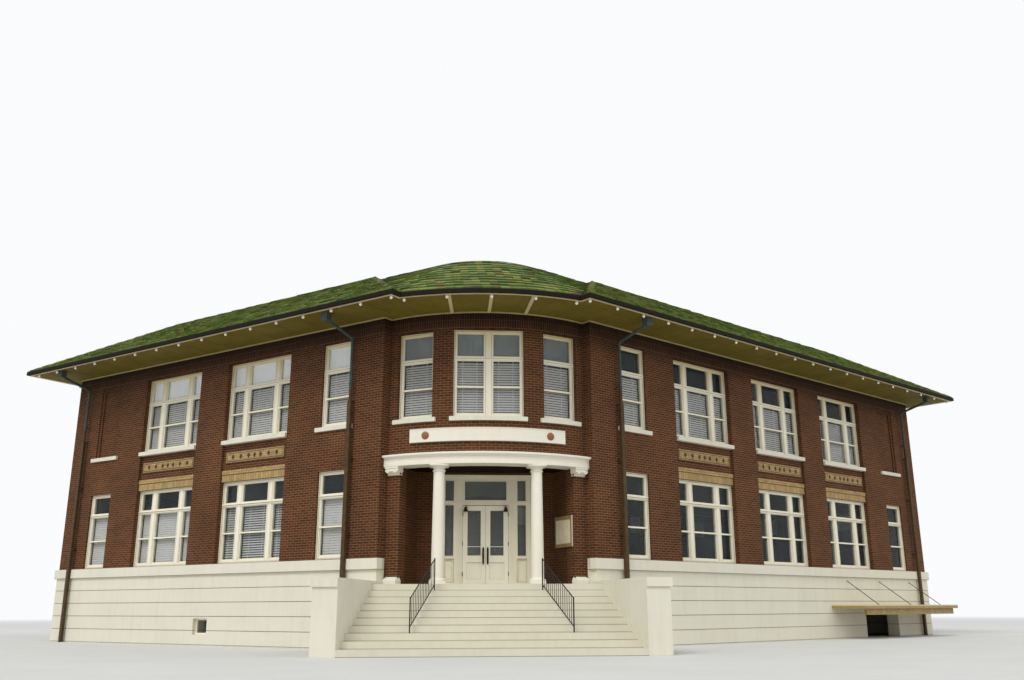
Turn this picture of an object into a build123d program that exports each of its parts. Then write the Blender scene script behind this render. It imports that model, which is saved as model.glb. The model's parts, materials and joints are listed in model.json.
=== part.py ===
"""Two-storey brick town hall: a curved entrance bay between two long wings.

Units are millimetres, +Z is up and the origin is at ground level on the entrance axis, midway between the
two brick shoulders that end the wings. The entrance faces -Y. Each wing is drawn in its own plan frame: s runs
along the facade from the shoulder corner, d runs into the building from the facade plane.
"""
import os
from functools import partial
from math import atan2, cos, degrees, radians, sin, sqrt, tan

from build123d import *

# Plan of the two wings
HALF_FRONT = 2850
SWEEP = 36.93
WING_DEPTH = 9500
WALL = 400
BAY_SPACING = 3930
FIRST_SINGLE = 1710
FIRST_TRIPLE = 4900
LAST_SINGLE_GAP = 3220
END_MARGIN = 1830
TRIPLES = {"left": 2, "right": 3}

# Plan of the curved entrance bay and the porch behind it
BAY_RADIUS = 4391
BAY_CROWN_Y = -657
BAY_CENTRE_Y = BAY_CROWN_Y + BAY_RADIUS
PORCH_HALF_FRONT = 2303
PORCH_HALF_BACK = 1900
PORCH_BACK_Y = 1000
PORCH_WALL = 300

# Levels above the ground
RISER = 160
RISERS = 10
LANDING = RISER * RISERS
BASE_TOP = 2270
CAP_BAND = 290
LOWER_SILL = 2290
LOWER_HEAD = 4655
ENTABLATURE_LOW = 4630
ENTABLATURE_HIGH = 4930
UPPER_FLOOR = 5160
FLOOR_SLAB = 250
UPPER_SILL = 5890
UPPER_HEAD = 8280
SOFFIT = 8763
ROOF_RISE = 2247
ROOF_TOP = SOFFIT + ROOF_RISE

# Base, steps and cheek walls
BASE_PROUD = 30
CAP_PROUD = 90
TREAD = 300
FLIGHT_TOP_Y = -900
CHEEK_TOP = 1680
CHEEK_WIDTH = 580
CHEEK_CAP = 200
CHEEK_CAP_PROUD = 40
CHEEK_FRONT_X = 3420
JOINT_DEEP = 12
JOINT_HIGH = 16
COURSE = 393

# Eaves and roof
EAVE_WING = 1550
EAVE_END = 850
EAVE_BAY = 1700
SOFFIT_BOARD = 25
GUTTER_HIGH = 105
GUTTER_WIDE = 130
ROOF_RUN = 3650
INNER_RUN = 3880
BAY_RUN = 3770
ROOF_THICK = 150

# Windows
TRIPLE_WIDE = 2700
SINGLE_WIDE = 1060
PANEL_RECESS = 90
WINDOW_REVEAL = 90
FRAME_DEEP = 120
JAMB = 70
MULLION = 210
SIDE_LIGHT = 530
TRANSOM_BAR = 70
MEETING_RAIL = 45
GLASS = 8
SILL_HIGH = 115
SILL_PROUD = 70
SILL_EAR = 150
BAY_SILL_EAR = 110
BLIND_STEP = 45
BLIND_INSET = 110

# Entrance unit
DOOR_WIDE = 615
DOOR_HIGH = 2110
DOOR_THICK = 45
DOOR_GAP = 6
UNIT_HALF = 1250
UNIT_HIGH = 2957
POST = 250
SIDELIGHT = 230
UNIT_DEEP = 140
UNIT_SET_BACK = 30

# Columns
COLUMN_X = 1275
COLUMN_INSET = 60
COLUMN_LOW_R = 166
COLUMN_TOP_R = 145

sweep = radians(SWEEP)
bay_centre = (0, BAY_CENTRE_Y)


def wing_length(side):
    """Facade length of a wing from its shoulder corner to its far corner."""
    return FIRST_TRIPLE + (TRIPLES[side] - 1) * BAY_SPACING + LAST_SINGLE_GAP + END_MARGIN


def plan_point(s, d):
    """World plan point of a point in the right wing's own plan frame."""
    return (HALF_FRONT + s * cos(sweep) - d * sin(sweep), s * sin(sweep) + d * cos(sweep))


def wing_coords(x, y):
    """The right wing's own plan coordinates of a world plan point."""
    return ((x - HALF_FRONT) * cos(sweep) + y * sin(sweep), y * cos(sweep) - (x - HALF_FRONT) * sin(sweep))


def mirrored(points):
    return [(-x, y) for x, y in points]


def prism(points, low, high):
    """Upright prism on a plan polygon."""
    outline = Wire.make_polygon([(x, y, low) for x, y in points], close=True)
    return extrude(Face(outline), amount=high - low, dir=(0, 0, 1))


def block(x0, x1, y0, y1, z0, z1):
    return Pos((x0 + x1) / 2, (y0 + y1) / 2, (z0 + z1) / 2) * Box(x1 - x0, y1 - y0, z1 - z0)


def on_wing(side, part):
    """Places a part drawn with x = s and y = d on one of the wings."""
    placed = Pos(HALF_FRONT, 0, 0) * Rot(0, 0, SWEEP) * part
    return placed if side == "right" else mirror(placed, about=Plane.YZ)


def at_bay(angle, part):
    """Places a part drawn at the crown of the bay, facing -Y, at an angle round the bay's centre."""
    return Pos(0, BAY_CENTRE_Y, 0) * Rot(0, 0, angle) * Pos(0, -BAY_CENTRE_Y, 0) * part


def bay_ring(outer, inner, low, high):
    ring = Cylinder(outer, high - low) - Cylinder(inner, high - low)
    return Pos(0, BAY_CENTRE_Y, (low + high) / 2) * ring


def gather(pieces):
    """One shape of several solids that don't touch."""
    solids = []
    for piece in pieces:
        solids.extend(piece.solids())
    return Compound(children=solids)


def save(name, shape):
    export_step(shape, f"parts/{name}.step")


# Plan outline of the building
centre_s, centre_d = wing_coords(0, BAY_CENTRE_Y)
return_deep = centre_d - sqrt(BAY_RADIUS ** 2 - centre_s ** 2)
rear_axis_s = (WING_DEPTH * sin(sweep) - HALF_FRONT) / cos(sweep)
rear_axis_y = plan_point(rear_axis_s, WING_DEPTH)[1]


def outline_face(grow=0.0):
    """Plan of the outer wall faces, grown outwards by a distance."""
    right_end = wing_length("right")
    left_end = wing_length("left")
    right = [plan_point(0, return_deep), plan_point(0, 0), plan_point(right_end, 0),
             plan_point(right_end, WING_DEPTH), (0, rear_axis_y)]
    left = mirrored([plan_point(left_end, WING_DEPTH), plan_point(left_end, 0), plan_point(0, 0),
                     plan_point(0, return_deep)])
    points = right + left
    edges = [Edge.make_line((*a, 0), (*b, 0)) for a, b in zip(points, points[1:])]
    crown = (0, BAY_CENTRE_Y - BAY_RADIUS, 0)
    edges.append(Edge.make_three_point_arc((*points[-1], 0), crown, (*points[0], 0)))
    face = Face(Wire(edges))
    return offset(face, amount=grow, kind=Kind.INTERSECTION) if grow else face


def slab(face, low, high):
    return Pos(0, 0, low) * extrude(face, amount=high - low, dir=(0, 0, 1))


# Eave outline, roof masses and the attic below them
def roof_frustum(side, low, high):
    """Hipped mass over one wing, from its eave line up to the flat deck."""
    front, rear = -EAVE_WING, WING_DEPTH + EAVE_WING
    inner, outer = -EAVE_WING, wing_length(side) + EAVE_END
    across = Wire.make_polygon([(0, front, low), (0, front + ROOF_RUN, high), (0, rear - ROOF_RUN, high),
                                (0, rear, low)], close=True)
    along = Wire.make_polygon([(inner, 0, low), (inner + INNER_RUN, 0, high), (outer - ROOF_RUN, 0, high),
                               (outer, 0, low)], close=True)
    body = extrude(Face(across), amount=2 * outer, dir=(1, 0, 0), both=True)
    ends = extrude(Face(along), amount=3 * WING_DEPTH, dir=(0, 1, 0), both=True)
    return on_wing(side, body & ends)


def roof_flank(side, low, high):
    """Mass beside the cone: its front slope is tangent to the cone and runs into the wing's inner hip."""
    front, rear = centre_d - BAY_RADIUS - EAVE_BAY, WING_DEPTH + EAVE_WING
    across = Wire.make_polygon([(centre_s, front, low), (centre_s, front + BAY_RUN, high),
                                (centre_s, rear - ROOF_RUN, high), (centre_s, rear, low)], close=True)
    long = INNER_RUN - EAVE_WING + 400 - centre_s
    return on_wing(side, extrude(Face(across), amount=long, dir=(1, 0, 0)))


def roof_cone(low, high):
    """Sector of a truncated cone over the curved bay, between the two flanks."""
    eave = BAY_RADIUS + EAVE_BAY
    profile = Wire.make_polygon([(0, 0, low), (0, -eave, low), (0, BAY_RUN - eave, high), (0, 0, high)], close=True)
    sector = revolve(Rot(0, 0, -SWEEP) * Face(profile), axis=Axis.Z, revolution_arc=2 * SWEEP)
    return Pos(0, BAY_CENTRE_Y, 0) * sector


def roof_masses(drop=0.0):
    low, high = SOFFIT + GUTTER_HIGH - drop, ROOF_TOP - drop
    masses = [make(side, low, high) for side in TRIPLES for make in (roof_frustum, roof_flank)]
    return masses + [roof_cone(low, high)]


def roof_mass(drop=0.0):
    first, *rest = roof_masses(drop)
    for mass in rest:
        first += mass
    return first


def under_roof(shape):
    """The part of a shape that lies below the roof's underside."""
    first, *rest = [shape & mass for mass in roof_masses(ROOF_THICK)]
    for part in rest:
        first += part
    return first


def eave_plan(low, high, inset=0.0):
    """Everything inside the eave line, as an upright prism."""
    def wing(side):
        length = wing_length(side)
        return on_wing(side, block(-EAVE_WING + inset, length + EAVE_END - inset, -EAVE_WING + inset,
                                   WING_DEPTH + EAVE_WING - inset, low, high))
    disc = Cylinder(BAY_RADIUS + EAVE_BAY - inset, high - low)
    return wing("right") + wing("left") + Pos(0, BAY_CENTRE_Y, (low + high) / 2) * disc


# Zones that share out the rings of wall between the nodes
def zone_front(side, low, high, thick):
    return on_wing(side, block(0, wing_length(side) + 500, -500, thick, low, high))


def zone_end(side, low, high, thick):
    length = wing_length(side)
    return on_wing(side, block(length - thick, length + 500, thick, WING_DEPTH + 500, low, high))


def zone_half(side, low, high):
    half = block(0, 40000, -20000, 40000, low, high)
    return half if side == "right" else mirror(half, about=Plane.YZ)


def porch_void(low, high):
    right = [(PORCH_HALF_FRONT, -1500), (PORCH_HALF_FRONT, 0), (PORCH_HALF_BACK, PORCH_BACK_Y)]
    return prism(right + mirrored(right[::-1]), low, high)


# Window positions: centre along the facade, width, and whether the upper one is blind
def front_windows(side):
    last_triple = FIRST_TRIPLE + (TRIPLES[side] - 1) * BAY_SPACING
    rows = [(FIRST_SINGLE, SINGLE_WIDE, False)]
    rows += [(FIRST_TRIPLE + i * BAY_SPACING, TRIPLE_WIDE, False) for i in range(TRIPLES[side])]
    rows.append((last_triple + LAST_SINGLE_GAP, SINGLE_WIDE, True))
    return rows


def rear_windows(side):
    rows = [(s, wide, False) for s, wide, blind in front_windows(side)[2:]]
    return [(FIRST_TRIPLE + 650, SINGLE_WIDE, False)] + rows


END_WINDOWS = [WING_DEPTH * share for share in (0.3, 0.7)]
BAY_WINDOWS = {"left": (-26.9, SINGLE_WIDE), "centre": (0, 1870), "right": (26.9, SINGLE_WIDE)}
BAY_SPLIT = 15.9
STOREYS = {"lower": (LOWER_SILL, LOWER_HEAD), "upper": (UPPER_SILL, UPPER_HEAD)}
TRANSOM_SHARE = {LOWER_SILL: 0.256, UPPER_SILL: 0.298}


def lights_of(wide):
    """Clear widths of the lights in a frame, as (from, to) measured from its middle."""
    half = wide / 2
    if wide == TRIPLE_WIDE:
        first = -half + JAMB
        second = first + SIDE_LIGHT + MULLION
        return [(first, first + SIDE_LIGHT), (second, -second), (-first - SIDE_LIGHT, -first)]
    if wide > SINGLE_WIDE:
        return [(-half + JAMB, -MULLION / 2), (MULLION / 2, half - JAMB)]
    return [(-half + JAMB, half - JAMB)]


def rows_of(low, high):
    """Clear heights of the two sashes and the transom light."""
    clear = high - low - 2 * JAMB
    transom_low = high - JAMB - clear * TRANSOM_SHARE[low]
    sash_top = transom_low - TRANSOM_BAR
    middle = (low + JAMB + sash_top) / 2
    return [(low + JAMB, middle - MEETING_RAIL / 2), (middle + MEETING_RAIL / 2, sash_top),
            (transom_low, high - JAMB)]


def window_frame(wide, low, high):
    """Frame with transom bar and meeting rail, its middle at x = 0 and its outer face at y = 0."""
    frame = block(-wide / 2, wide / 2, 0, FRAME_DEEP, low, high)
    for x0, x1 in lights_of(wide):
        for z0, z1 in rows_of(low, high):
            frame -= block(x0, x1, -1, FRAME_DEEP + 1, z0, z1)
    return frame


def window_glass(wide, low, high):
    y0 = FRAME_DEEP / 2
    return [block(x0, x1, y0, y0 + GLASS, z0, z1) for x0, x1 in lights_of(wide) for z0, z1 in rows_of(low, high)]


def window_sill(wide, low, back):
    """Projecting sill below a frame; the wall plane is y = 0. Wide ones stop between the brick piers."""
    ear = 0 if wide == TRIPLE_WIDE else SILL_EAR
    nose = block(-wide / 2 - ear, wide / 2 + ear, -SILL_PROUD, 0, low - SILL_HIGH, low)
    tongue = block(-wide / 2, wide / 2, 0, back, low - SILL_HIGH, low)
    return nose + tongue


def bay_sill(wide, low, back):
    """Sill that follows the curved wall, drawn at the crown."""
    nose = bay_ring(BAY_RADIUS + SILL_PROUD, BAY_RADIUS, low - SILL_HIGH, low)
    nose &= block(-wide / 2 - BAY_SILL_EAR, wide / 2 + BAY_SILL_EAR, -5000, 0, low - SILL_HIGH, low)
    crown = BAY_CENTRE_Y - BAY_RADIUS
    tongue = block(-wide / 2, wide / 2, crown - 10, crown + back, low - SILL_HIGH, low)
    return nose + (tongue & bay_disc(BAY_RADIUS, low - SILL_HIGH, low))


def hole(wide, low, high):
    return block(-wide / 2, wide / 2, -500, 900, low, high)


def wing_place(side, s, part, rear=False):
    """Puts a part drawn at a wall face on the front or the rear wall of a wing."""
    turned = Pos(s, WING_DEPTH, 0) * Rot(0, 0, 180) * part if rear else Pos(s, 0, 0) * part
    return on_wing(side, turned)


def end_place(side, d, part):
    return on_wing(side, Pos(wing_length(side), d, 0) * Rot(0, 0, 90) * part)


# Walls
wall_top = ROOF_TOP
ring_face = outline_face()
wall_plan = ring_face - outline_face(-WALL)
trimmed_ring = slab(wall_plan, LANDING, SOFFIT) + under_roof(slab(wall_plan, SOFFIT, wall_top))
brick_ring = trimmed_ring & slab(outline_face(500), BASE_TOP, wall_top)


def pierce(wall, cuts):
    for cut in cuts:
        wall -= cut
    return wall


def wing_front_wall(side):
    wall = brick_ring & zone_front(side, BASE_TOP, wall_top, WALL)
    cuts = []
    for s, wide, blind in front_windows(side):
        cuts.append(wing_place(side, s, hole(wide, LOWER_SILL, LOWER_HEAD)))
        if blind:
            cuts.append(wing_place(side, s, block(-wide / 2, wide / 2, -500, BLIND_STEP, UPPER_SILL, UPPER_HEAD)))
            inner = wide / 2 - BLIND_INSET
            cuts.append(wing_place(side, s, block(-inner, inner, -500, WINDOW_REVEAL, UPPER_SILL,
                                                  UPPER_HEAD - BLIND_INSET)))
        else:
            cuts.append(wing_place(side, s, hole(wide, UPPER_SILL - SILL_HIGH, UPPER_HEAD)))
        if wide == TRIPLE_WIDE:
            cuts.append(wing_place(side, s, block(-wide / 2, wide / 2, -500, PANEL_RECESS, BASE_TOP, UPPER_HEAD)))
    return pierce(wall, cuts)


def wing_rear_wall(side):
    wall = brick_ring & zone_half(side, BASE_TOP, wall_top)
    wall -= zone_front(side, BASE_TOP, wall_top, WALL)
    wall -= zone_end(side, BASE_TOP, wall_top, WALL)
    wall -= block(-5000, 5000, -5000, BAY_CENTRE_Y, BASE_TOP, wall_top)
    cuts = [wing_place(side, s, hole(wide, low - (SILL_HIGH if low == UPPER_SILL else 0), high), rear=True)
            for s, wide, blind in rear_windows(side) for low, high in STOREYS.values()]
    return pierce(wall, cuts)


def wing_end_wall(side):
    wall = brick_ring & zone_end(side, BASE_TOP, wall_top, WALL)
    cuts = [end_place(side, d, hole(SINGLE_WIDE, low - (SILL_HIGH if low == UPPER_SILL else 0), high))
            for d in END_WINDOWS for low, high in STOREYS.values()]
    return pierce(wall, cuts)


def bay_upper_wall():
    """Curved wall above the entablature, with its three window openings."""
    wall = trimmed_ring & slab(outline_face(500), ENTABLATURE_HIGH, wall_top)
    wall &= block(-5000, 5000, -5000, BAY_CENTRE_Y, ENTABLATURE_HIGH, wall_top)
    for side in TRIPLES:
        wall -= zone_front(side, ENTABLATURE_HIGH, wall_top, WALL)
    crown = BAY_CENTRE_Y - BAY_RADIUS
    cuts = [at_bay(angle, Pos(0, crown, 0) * hole(wide, UPPER_SILL - SILL_HIGH, UPPER_HEAD))
            for angle, wide in BAY_WINDOWS.values()]
    return pierce(wall, cuts)


def bay_sector(side):
    """Sector of plan that holds one third of the curved wall, split between its windows."""
    split = tan(radians(BAY_SPLIT))
    far = 9000
    reach = (far * split, BAY_CENTRE_Y - far)
    if side == "centre":
        return prism([(0, BAY_CENTRE_Y), reach, (-reach[0], reach[1])][::-1], 0, wall_top)
    right = prism([(0, BAY_CENTRE_Y), reach, (far, BAY_CENTRE_Y - far), (far, BAY_CENTRE_Y)], 0, wall_top)
    return right if side == "right" else mirror(right, about=Plane.YZ)


def porch_pier(side):
    """Short piece of the curved wall between a shoulder and the porch."""
    pier = trimmed_ring & slab(outline_face(500), LANDING, ENTABLATURE_LOW)
    pier &= block(-5000, 5000, -5000, BAY_CENTRE_Y, LANDING, ENTABLATURE_LOW)
    pier &= zone_half(side, LANDING, ENTABLATURE_LOW)
    pier -= zone_front(side, LANDING, ENTABLATURE_LOW, WALL)
    return pier - porch_void(LANDING, ENTABLATURE_LOW)


storey_underside = UPPER_FLOOR - FLOOR_SLAB


def porch_side(side):
    """Brick side wall of the porch, from the pier back to the door wall."""
    back = PORCH_BACK_Y + PORCH_WALL
    plan = [(PORCH_HALF_FRONT, 0), (PORCH_HALF_BACK, PORCH_BACK_Y), (PORCH_HALF_BACK, back),
            (PORCH_HALF_BACK + 380, back), (2700, 300)]
    wall = prism(plan if side == "right" else mirrored(plan), LANDING, storey_underside)
    for wing in TRIPLES:
        wall -= zone_front(wing, LANDING, storey_underside, WALL)
    return wall - bay_ring(BAY_RADIUS + 900, BAY_RADIUS - WALL, LANDING, storey_underside)


def porch_back(side):
    wall = block(UNIT_HALF, PORCH_HALF_BACK, PORCH_BACK_Y, PORCH_BACK_Y + PORCH_WALL, LANDING, storey_underside)
    return wall if side == "right" else mirror(wall, about=Plane.YZ)


def porch_back_over():
    return block(-UNIT_HALF, UNIT_HALF, PORCH_BACK_Y, PORCH_BACK_Y + PORCH_WALL, LANDING + UNIT_HIGH, storey_underside)


# Base, landing, steps and cheek walls
def flight_region(low, high):
    """Plan of the landing and the flight, between the cheek walls."""
    last_y = FLIGHT_TOP_Y - (RISERS - 1) * TREAD
    back = PORCH_BACK_Y + PORCH_WALL
    shoulder = plan_point(0, return_deep)
    inner = plan_point(0, return_deep + WALL)
    right = [(CHEEK_FRONT_X, last_y), shoulder, (inner[0], inner[1]), (inner[0], back)]
    return prism(right + mirrored(right[::-1]), low, high)


def steps():
    """Landing and flight as one mass, its ends against the cheek walls."""
    back = PORCH_BACK_Y + PORCH_WALL
    profile = [(0, back, 0), (0, back, LANDING), (0, FLIGHT_TOP_Y, LANDING)]
    for i in range(1, RISERS):
        y = FLIGHT_TOP_Y - (i - 1) * TREAD
        profile.append((0, y, LANDING - i * RISER))
        profile.append((0, y - TREAD, LANDING - i * RISER))
    profile.append((0, FLIGHT_TOP_Y - (RISERS - 1) * TREAD, 0))
    mass = extrude(Face(Wire.make_polygon(profile, close=True)), amount=6000, dir=(1, 0, 0), both=True)
    return mass & flight_region(0, LANDING)


def cheek_plan(proud=0.0):
    """Plan of a cheek wall, running forward from the shoulder."""
    start = plan_point(0, return_deep)
    last_y = FLIGHT_TOP_Y - (RISERS - 1) * TREAD
    run = (CHEEK_FRONT_X - start[0], last_y - start[1])
    long = sqrt(run[0] ** 2 + run[1] ** 2)
    ahead = (run[0] / long, run[1] / long)
    side = (-ahead[1], ahead[0])

    def at(forward, out):
        return (start[0] + ahead[0] * forward + side[0] * out, start[1] + ahead[1] * forward + side[1] * out)
    return [at(0, 0), at(long + proud, 0), at(long + proud, CHEEK_WIDTH + proud), at(-600, CHEEK_WIDTH + proud),
            at(-600, 0)]


def cheek(side):
    body = prism(cheek_plan(), 0, CHEEK_TOP - CHEEK_CAP)
    body += prism(cheek_plan(CHEEK_CAP_PROUD), CHEEK_TOP - CHEEK_CAP, CHEEK_TOP)
    body -= slab(outline_face(BASE_PROUD), 0, CHEEK_TOP)
    body = body if side == "right" else mirror(body, about=Plane.YZ)
    return body - flight_region(0, CHEEK_TOP)


def base(side):
    """White plinth wall of one wing with its projecting cap and level joints."""
    half_wide = BASEMENT_WINDOW / 2
    inner = outline_face(-WALL)
    ring = slab(outline_face(BASE_PROUD) - inner, 0, BASE_TOP - CAP_BAND)
    ring += slab(outline_face(CAP_PROUD) - inner, BASE_TOP - CAP_BAND, BASE_TOP)
    for level in range(1, 5):
        z = BASE_TOP - CAP_BAND - level * COURSE
        ring -= slab(outline_face(CAP_PROUD) - outline_face(BASE_PROUD - JOINT_DEEP), z, z + JOINT_HIGH)
    ring -= flight_region(0, BASE_TOP)
    ring &= zone_half(side, 0, BASE_TOP)
    ring -= bay_disc(BAY_RADIUS + CAP_PROUD, LANDING, BASE_TOP) & porch_front(side)
    ring -= porch_pier(side)
    ring -= porch_side(side)
    if side == "right":
        ring -= wing_place("right", BASEMENT_DOOR_S, block(-BASEMENT_DOOR / 2, BASEMENT_DOOR / 2, -500, 900, -1,
                                                           BASEMENT_HEAD))
    else:
        ring -= wing_place("left", BASEMENT_WINDOW_S, block(-half_wide, half_wide, -500, 900, *BASEMENT_WINDOW_Z))
    return ring


def porch_front(side):
    """Everything ahead of the porch's back wall, on the bay's side of a shoulder."""
    front = on_wing(side, block(-9000, 0, -3000, 3000, LANDING, BASE_TOP))
    return front & block(-9000, 9000, -9000, PORCH_BACK_Y + PORCH_WALL, LANDING, BASE_TOP)


BASEMENT_DOOR_S = 14280
BASEMENT_DOOR = 2200
BASEMENT_HEAD = 770
BASEMENT_WINDOW_S = 6600
BASEMENT_WINDOW = 600
BASEMENT_WINDOW_Z = (300, 750)
BASEMENT_BAR = 50
CANOPY_WIDE = 6400
CANOPY_OUT = 1250
CANOPY_LOW = 960
CANOPY_THICK = 120
CANOPY_BEAM = 195
ROD_R = 12
ROD_SPACING = 2130
ROD_WALL_Z = 1870
FIRST_DOWNSPOUT = 1030
LAST_DOWNSPOUT = 750
PIPE_R = 42
PIPE_JOINT_Z = 6480
STRAP_LEVELS = (2900, 4900)
RING_LEVELS = (PIPE_JOINT_Z, PIPE_JOINT_Z + 490)


def basement_canopy():
    """Flat canopy on the base wall, notched round the downspout and hung by three sloping rods."""
    half = CANOPY_WIDE / 2
    canopy = block(-half, half, -CANOPY_OUT, -BASE_PROUD, CANOPY_LOW, CANOPY_LOW + CANOPY_THICK)
    canopy += block(-half + 200, half - 200, -CANOPY_OUT + 90, -CANOPY_OUT + 190, CANOPY_LOW - CANOPY_BEAM, CANOPY_LOW)
    pipe_x = wing_length("right") - LAST_DOWNSPOUT - BASEMENT_DOOR_S
    canopy -= block(pipe_x - 75, pipe_x + 75, -CAP_PROUD - 110, 0, CANOPY_LOW - 1, CANOPY_LOW + CANOPY_THICK + 1)
    top = CANOPY_LOW + CANOPY_THICK
    foot = Vector(0, -CANOPY_OUT + 100, top - 20)
    head = Vector(0, -BASE_PROUD, ROD_WALL_Z)
    run = head - foot
    plane = Plane(origin=foot, z_dir=run)
    rod = extrude(plane * Circle(ROD_R), amount=run.length + 40)
    rod &= block(-100, 100, -CANOPY_OUT, -BASE_PROUD, top - 20, ROD_WALL_Z + 200)
    for i in (-1, 0, 1):
        canopy += Pos(i * ROD_SPACING, 0, 0) * rod
    return wing_place("right", BASEMENT_DOOR_S, canopy)


# Entrance
def entablature():
    """Curved beam over the porch with a projecting top moulding."""
    low, high = ENTABLATURE_LOW, ENTABLATURE_HIGH
    face, crown = BAY_RADIUS + 150, BAY_RADIUS + 230
    beam = bay_ring(face, BAY_RADIUS - WALL, low, high) + bay_ring(crown, BAY_RADIUS - WALL, high - 50, high)
    beam &= block(-5000, 5000, -5000, 1500, low, high)
    for side in TRIPLES:
        beam -= on_wing(side, block(0, 5000, -5000, 5000, low, high))
    return beam


def sign_band():
    low, high = 5230, 5590
    band = bay_ring(BAY_RADIUS + 60, BAY_RADIUS, low, high)
    return band & block(-2080, 2080, -5000, 1500, low, high)


def column(side):
    """Tapered round column with a moulded base and a square abacus."""
    foot = LANDING
    top = ENTABLATURE_LOW
    y = BAY_CENTRE_Y - sqrt((BAY_RADIUS - COLUMN_INSET) ** 2 - COLUMN_X ** 2)
    low_r, top_r = COLUMN_LOW_R, COLUMN_TOP_R
    plinth_half = low_r * 1.27
    profile = [(0, foot + 70), (low_r * 1.27, foot + 70), (low_r * 1.27, foot + 110), (low_r * 1.1, foot + 140),
               (low_r, foot + 160), (low_r, foot + 700), (top_r, top - 190), (top_r * 1.16, top - 175),
               (top_r * 1.16, top - 150), (top_r, top - 140), (top_r, top - 110), (top_r * 1.3, top - 60),
               (0, top - 60)]
    outline = Wire.make_polygon([(x, 0, z) for x, z in profile], close=True)
    shaft = revolve(Face(outline), axis=Axis.Z)
    plinth = block(-plinth_half, plinth_half, -plinth_half, plinth_half, foot, foot + 70)
    abacus_half = top_r * 1.42
    abacus = block(-abacus_half, abacus_half, -abacus_half, abacus_half, top - 60, top)
    whole = Pos(COLUMN_X, y, 0) * (shaft + plinth + abacus)
    return whole if side == "right" else mirror(whole, about=Plane.YZ)


unit_face_y = PORCH_BACK_Y + UNIT_SET_BACK
door_half = DOOR_WIDE + 1.5 * DOOR_GAP
door_low = LANDING + 20
door_top = door_low + DOOR_HIGH
unit_transom = (3850, 4405)
sidelight_rows = [(1710, 2270), (2380, 3735), (3850, 4405)]


def entrance_frame():
    """Frame with the door opening, the transom light and two sidelights."""
    y0, y1 = unit_face_y, unit_face_y + UNIT_DEEP
    frame = block(-UNIT_HALF, UNIT_HALF, y0, y1, LANDING, LANDING + UNIT_HIGH)
    frame -= block(-door_half, door_half, y0 - 1, y1 + 1, door_low - DOOR_GAP, door_top + DOOR_GAP)
    frame -= block(-door_half + 30, door_half - 30, y0 - 1, y1 + 1, *unit_transom)
    x0 = door_half + POST
    for low, high in sidelight_rows:
        for sign in (-1, 1):
            a, b = sorted((sign * x0, sign * (x0 + SIDELIGHT)))
            depth = y0 + 25 if low == sidelight_rows[0][0] else y1 + 1
            frame -= block(a, b, y0 - 1, depth, low, high)
    for piece in frame_hinges():
        frame += piece
    return frame


def entrance_glass():
    y = unit_face_y + UNIT_DEEP / 2
    panes = [block(-door_half + 30, door_half - 30, y, y + GLASS, *unit_transom)]
    x0 = door_half + POST
    for low, high in sidelight_rows[1:]:
        panes.append(block(x0, x0 + SIDELIGHT, y, y + GLASS, low, high))
        panes.append(block(-x0 - SIDELIGHT, -x0, y, y + GLASS, low, high))
    return gather(panes)


DOOR_GLASS = (2370, 3600)
DOOR_PANEL = (1770, 2190)
DOOR_STILE = 112
HINGE_R = 9
HINGE_LONG = 110
HINGE_LEVELS = (LANDING + 305, LANDING + 1095, LANDING + 1885)
HINGE_PLAY = 0.3
HINGE_STAND = 1
door_face_y = unit_face_y
hinge_x = DOOR_WIDE + DOOR_GAP
hinge_y = door_face_y - HINGE_R - HINGE_STAND


def door_leaf(side):
    """One leaf with a glazed upper light, a sunk lower panel and its hinge knuckles."""
    x0, x1 = DOOR_GAP / 2, DOOR_GAP / 2 + DOOR_WIDE
    y0, y1 = door_face_y, door_face_y + DOOR_THICK
    leaf = block(x0, x1, y0, y1, door_low, door_top)
    leaf -= block(x0 + DOOR_STILE, x1 - DOOR_STILE, y0 - 1, y1 + 1, *DOOR_GLASS)
    leaf -= block(x0 + DOOR_STILE, x1 - DOOR_STILE, y0 - 1, y0 + 12, *DOOR_PANEL)
    for z in HINGE_LEVELS:
        leaf += hinge_knuckle(z, x1 - 35, x1 - 4)
    return leaf if side == "right" else mirror(leaf, about=Plane.YZ)


def hinge_knuckle(z, x0, x1):
    """A third of a hinge: its knuckle and the plate that seats it against the face of the door unit."""
    low, high = z - HINGE_LONG / 6, z + HINGE_LONG / 6
    knuckle = Pos(hinge_x, hinge_y, z) * Cylinder(HINGE_R, HINGE_LONG / 3)
    near, far = sorted((x0, x1), key=lambda x: abs(x - hinge_x))
    strap = block(*sorted((hinge_x, far)), hinge_y - 2, hinge_y + 2, low, high)
    seat = block(*sorted((near, far)), hinge_y - 2, door_face_y, low, high)
    return knuckle + strap + seat


def frame_hinges():
    """Fixed knuckles of both leaves, one above and one below each knuckle of a leaf."""
    pieces = []
    for z in HINGE_LEVELS:
        for sign in (-1, 1):
            piece = hinge_knuckle(z + sign * (HINGE_LONG / 3 + HINGE_PLAY), door_half + 5, door_half + 40)
            pieces += [piece, mirror(piece, about=Plane.YZ)]
    return pieces


def door_glass(side):
    x0, x1 = DOOR_GAP / 2 + DOOR_STILE, DOOR_GAP / 2 + DOOR_WIDE - DOOR_STILE
    y = door_face_y + DOOR_THICK / 2
    pane = block(x0, x1, y - GLASS / 2, y + GLASS / 2, *DOOR_GLASS)
    return pane if side == "right" else mirror(pane, about=Plane.YZ)


def door_pull(side):
    """Tall bar pull on two standoffs, near the meeting stile."""
    x, low, high = 62, 2165, 2595
    y = door_face_y - 55
    bar = Pos(x, y, (low + high) / 2) * Cylinder(14, high - low)
    for z in (low + 50, high - 50):
        bar += Pos(x, (y + door_face_y) / 2, z) * Rot(90, 0, 0) * Cylinder(9, door_face_y - y)
    return bar if side == "right" else mirror(bar, about=Plane.YZ)


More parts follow.
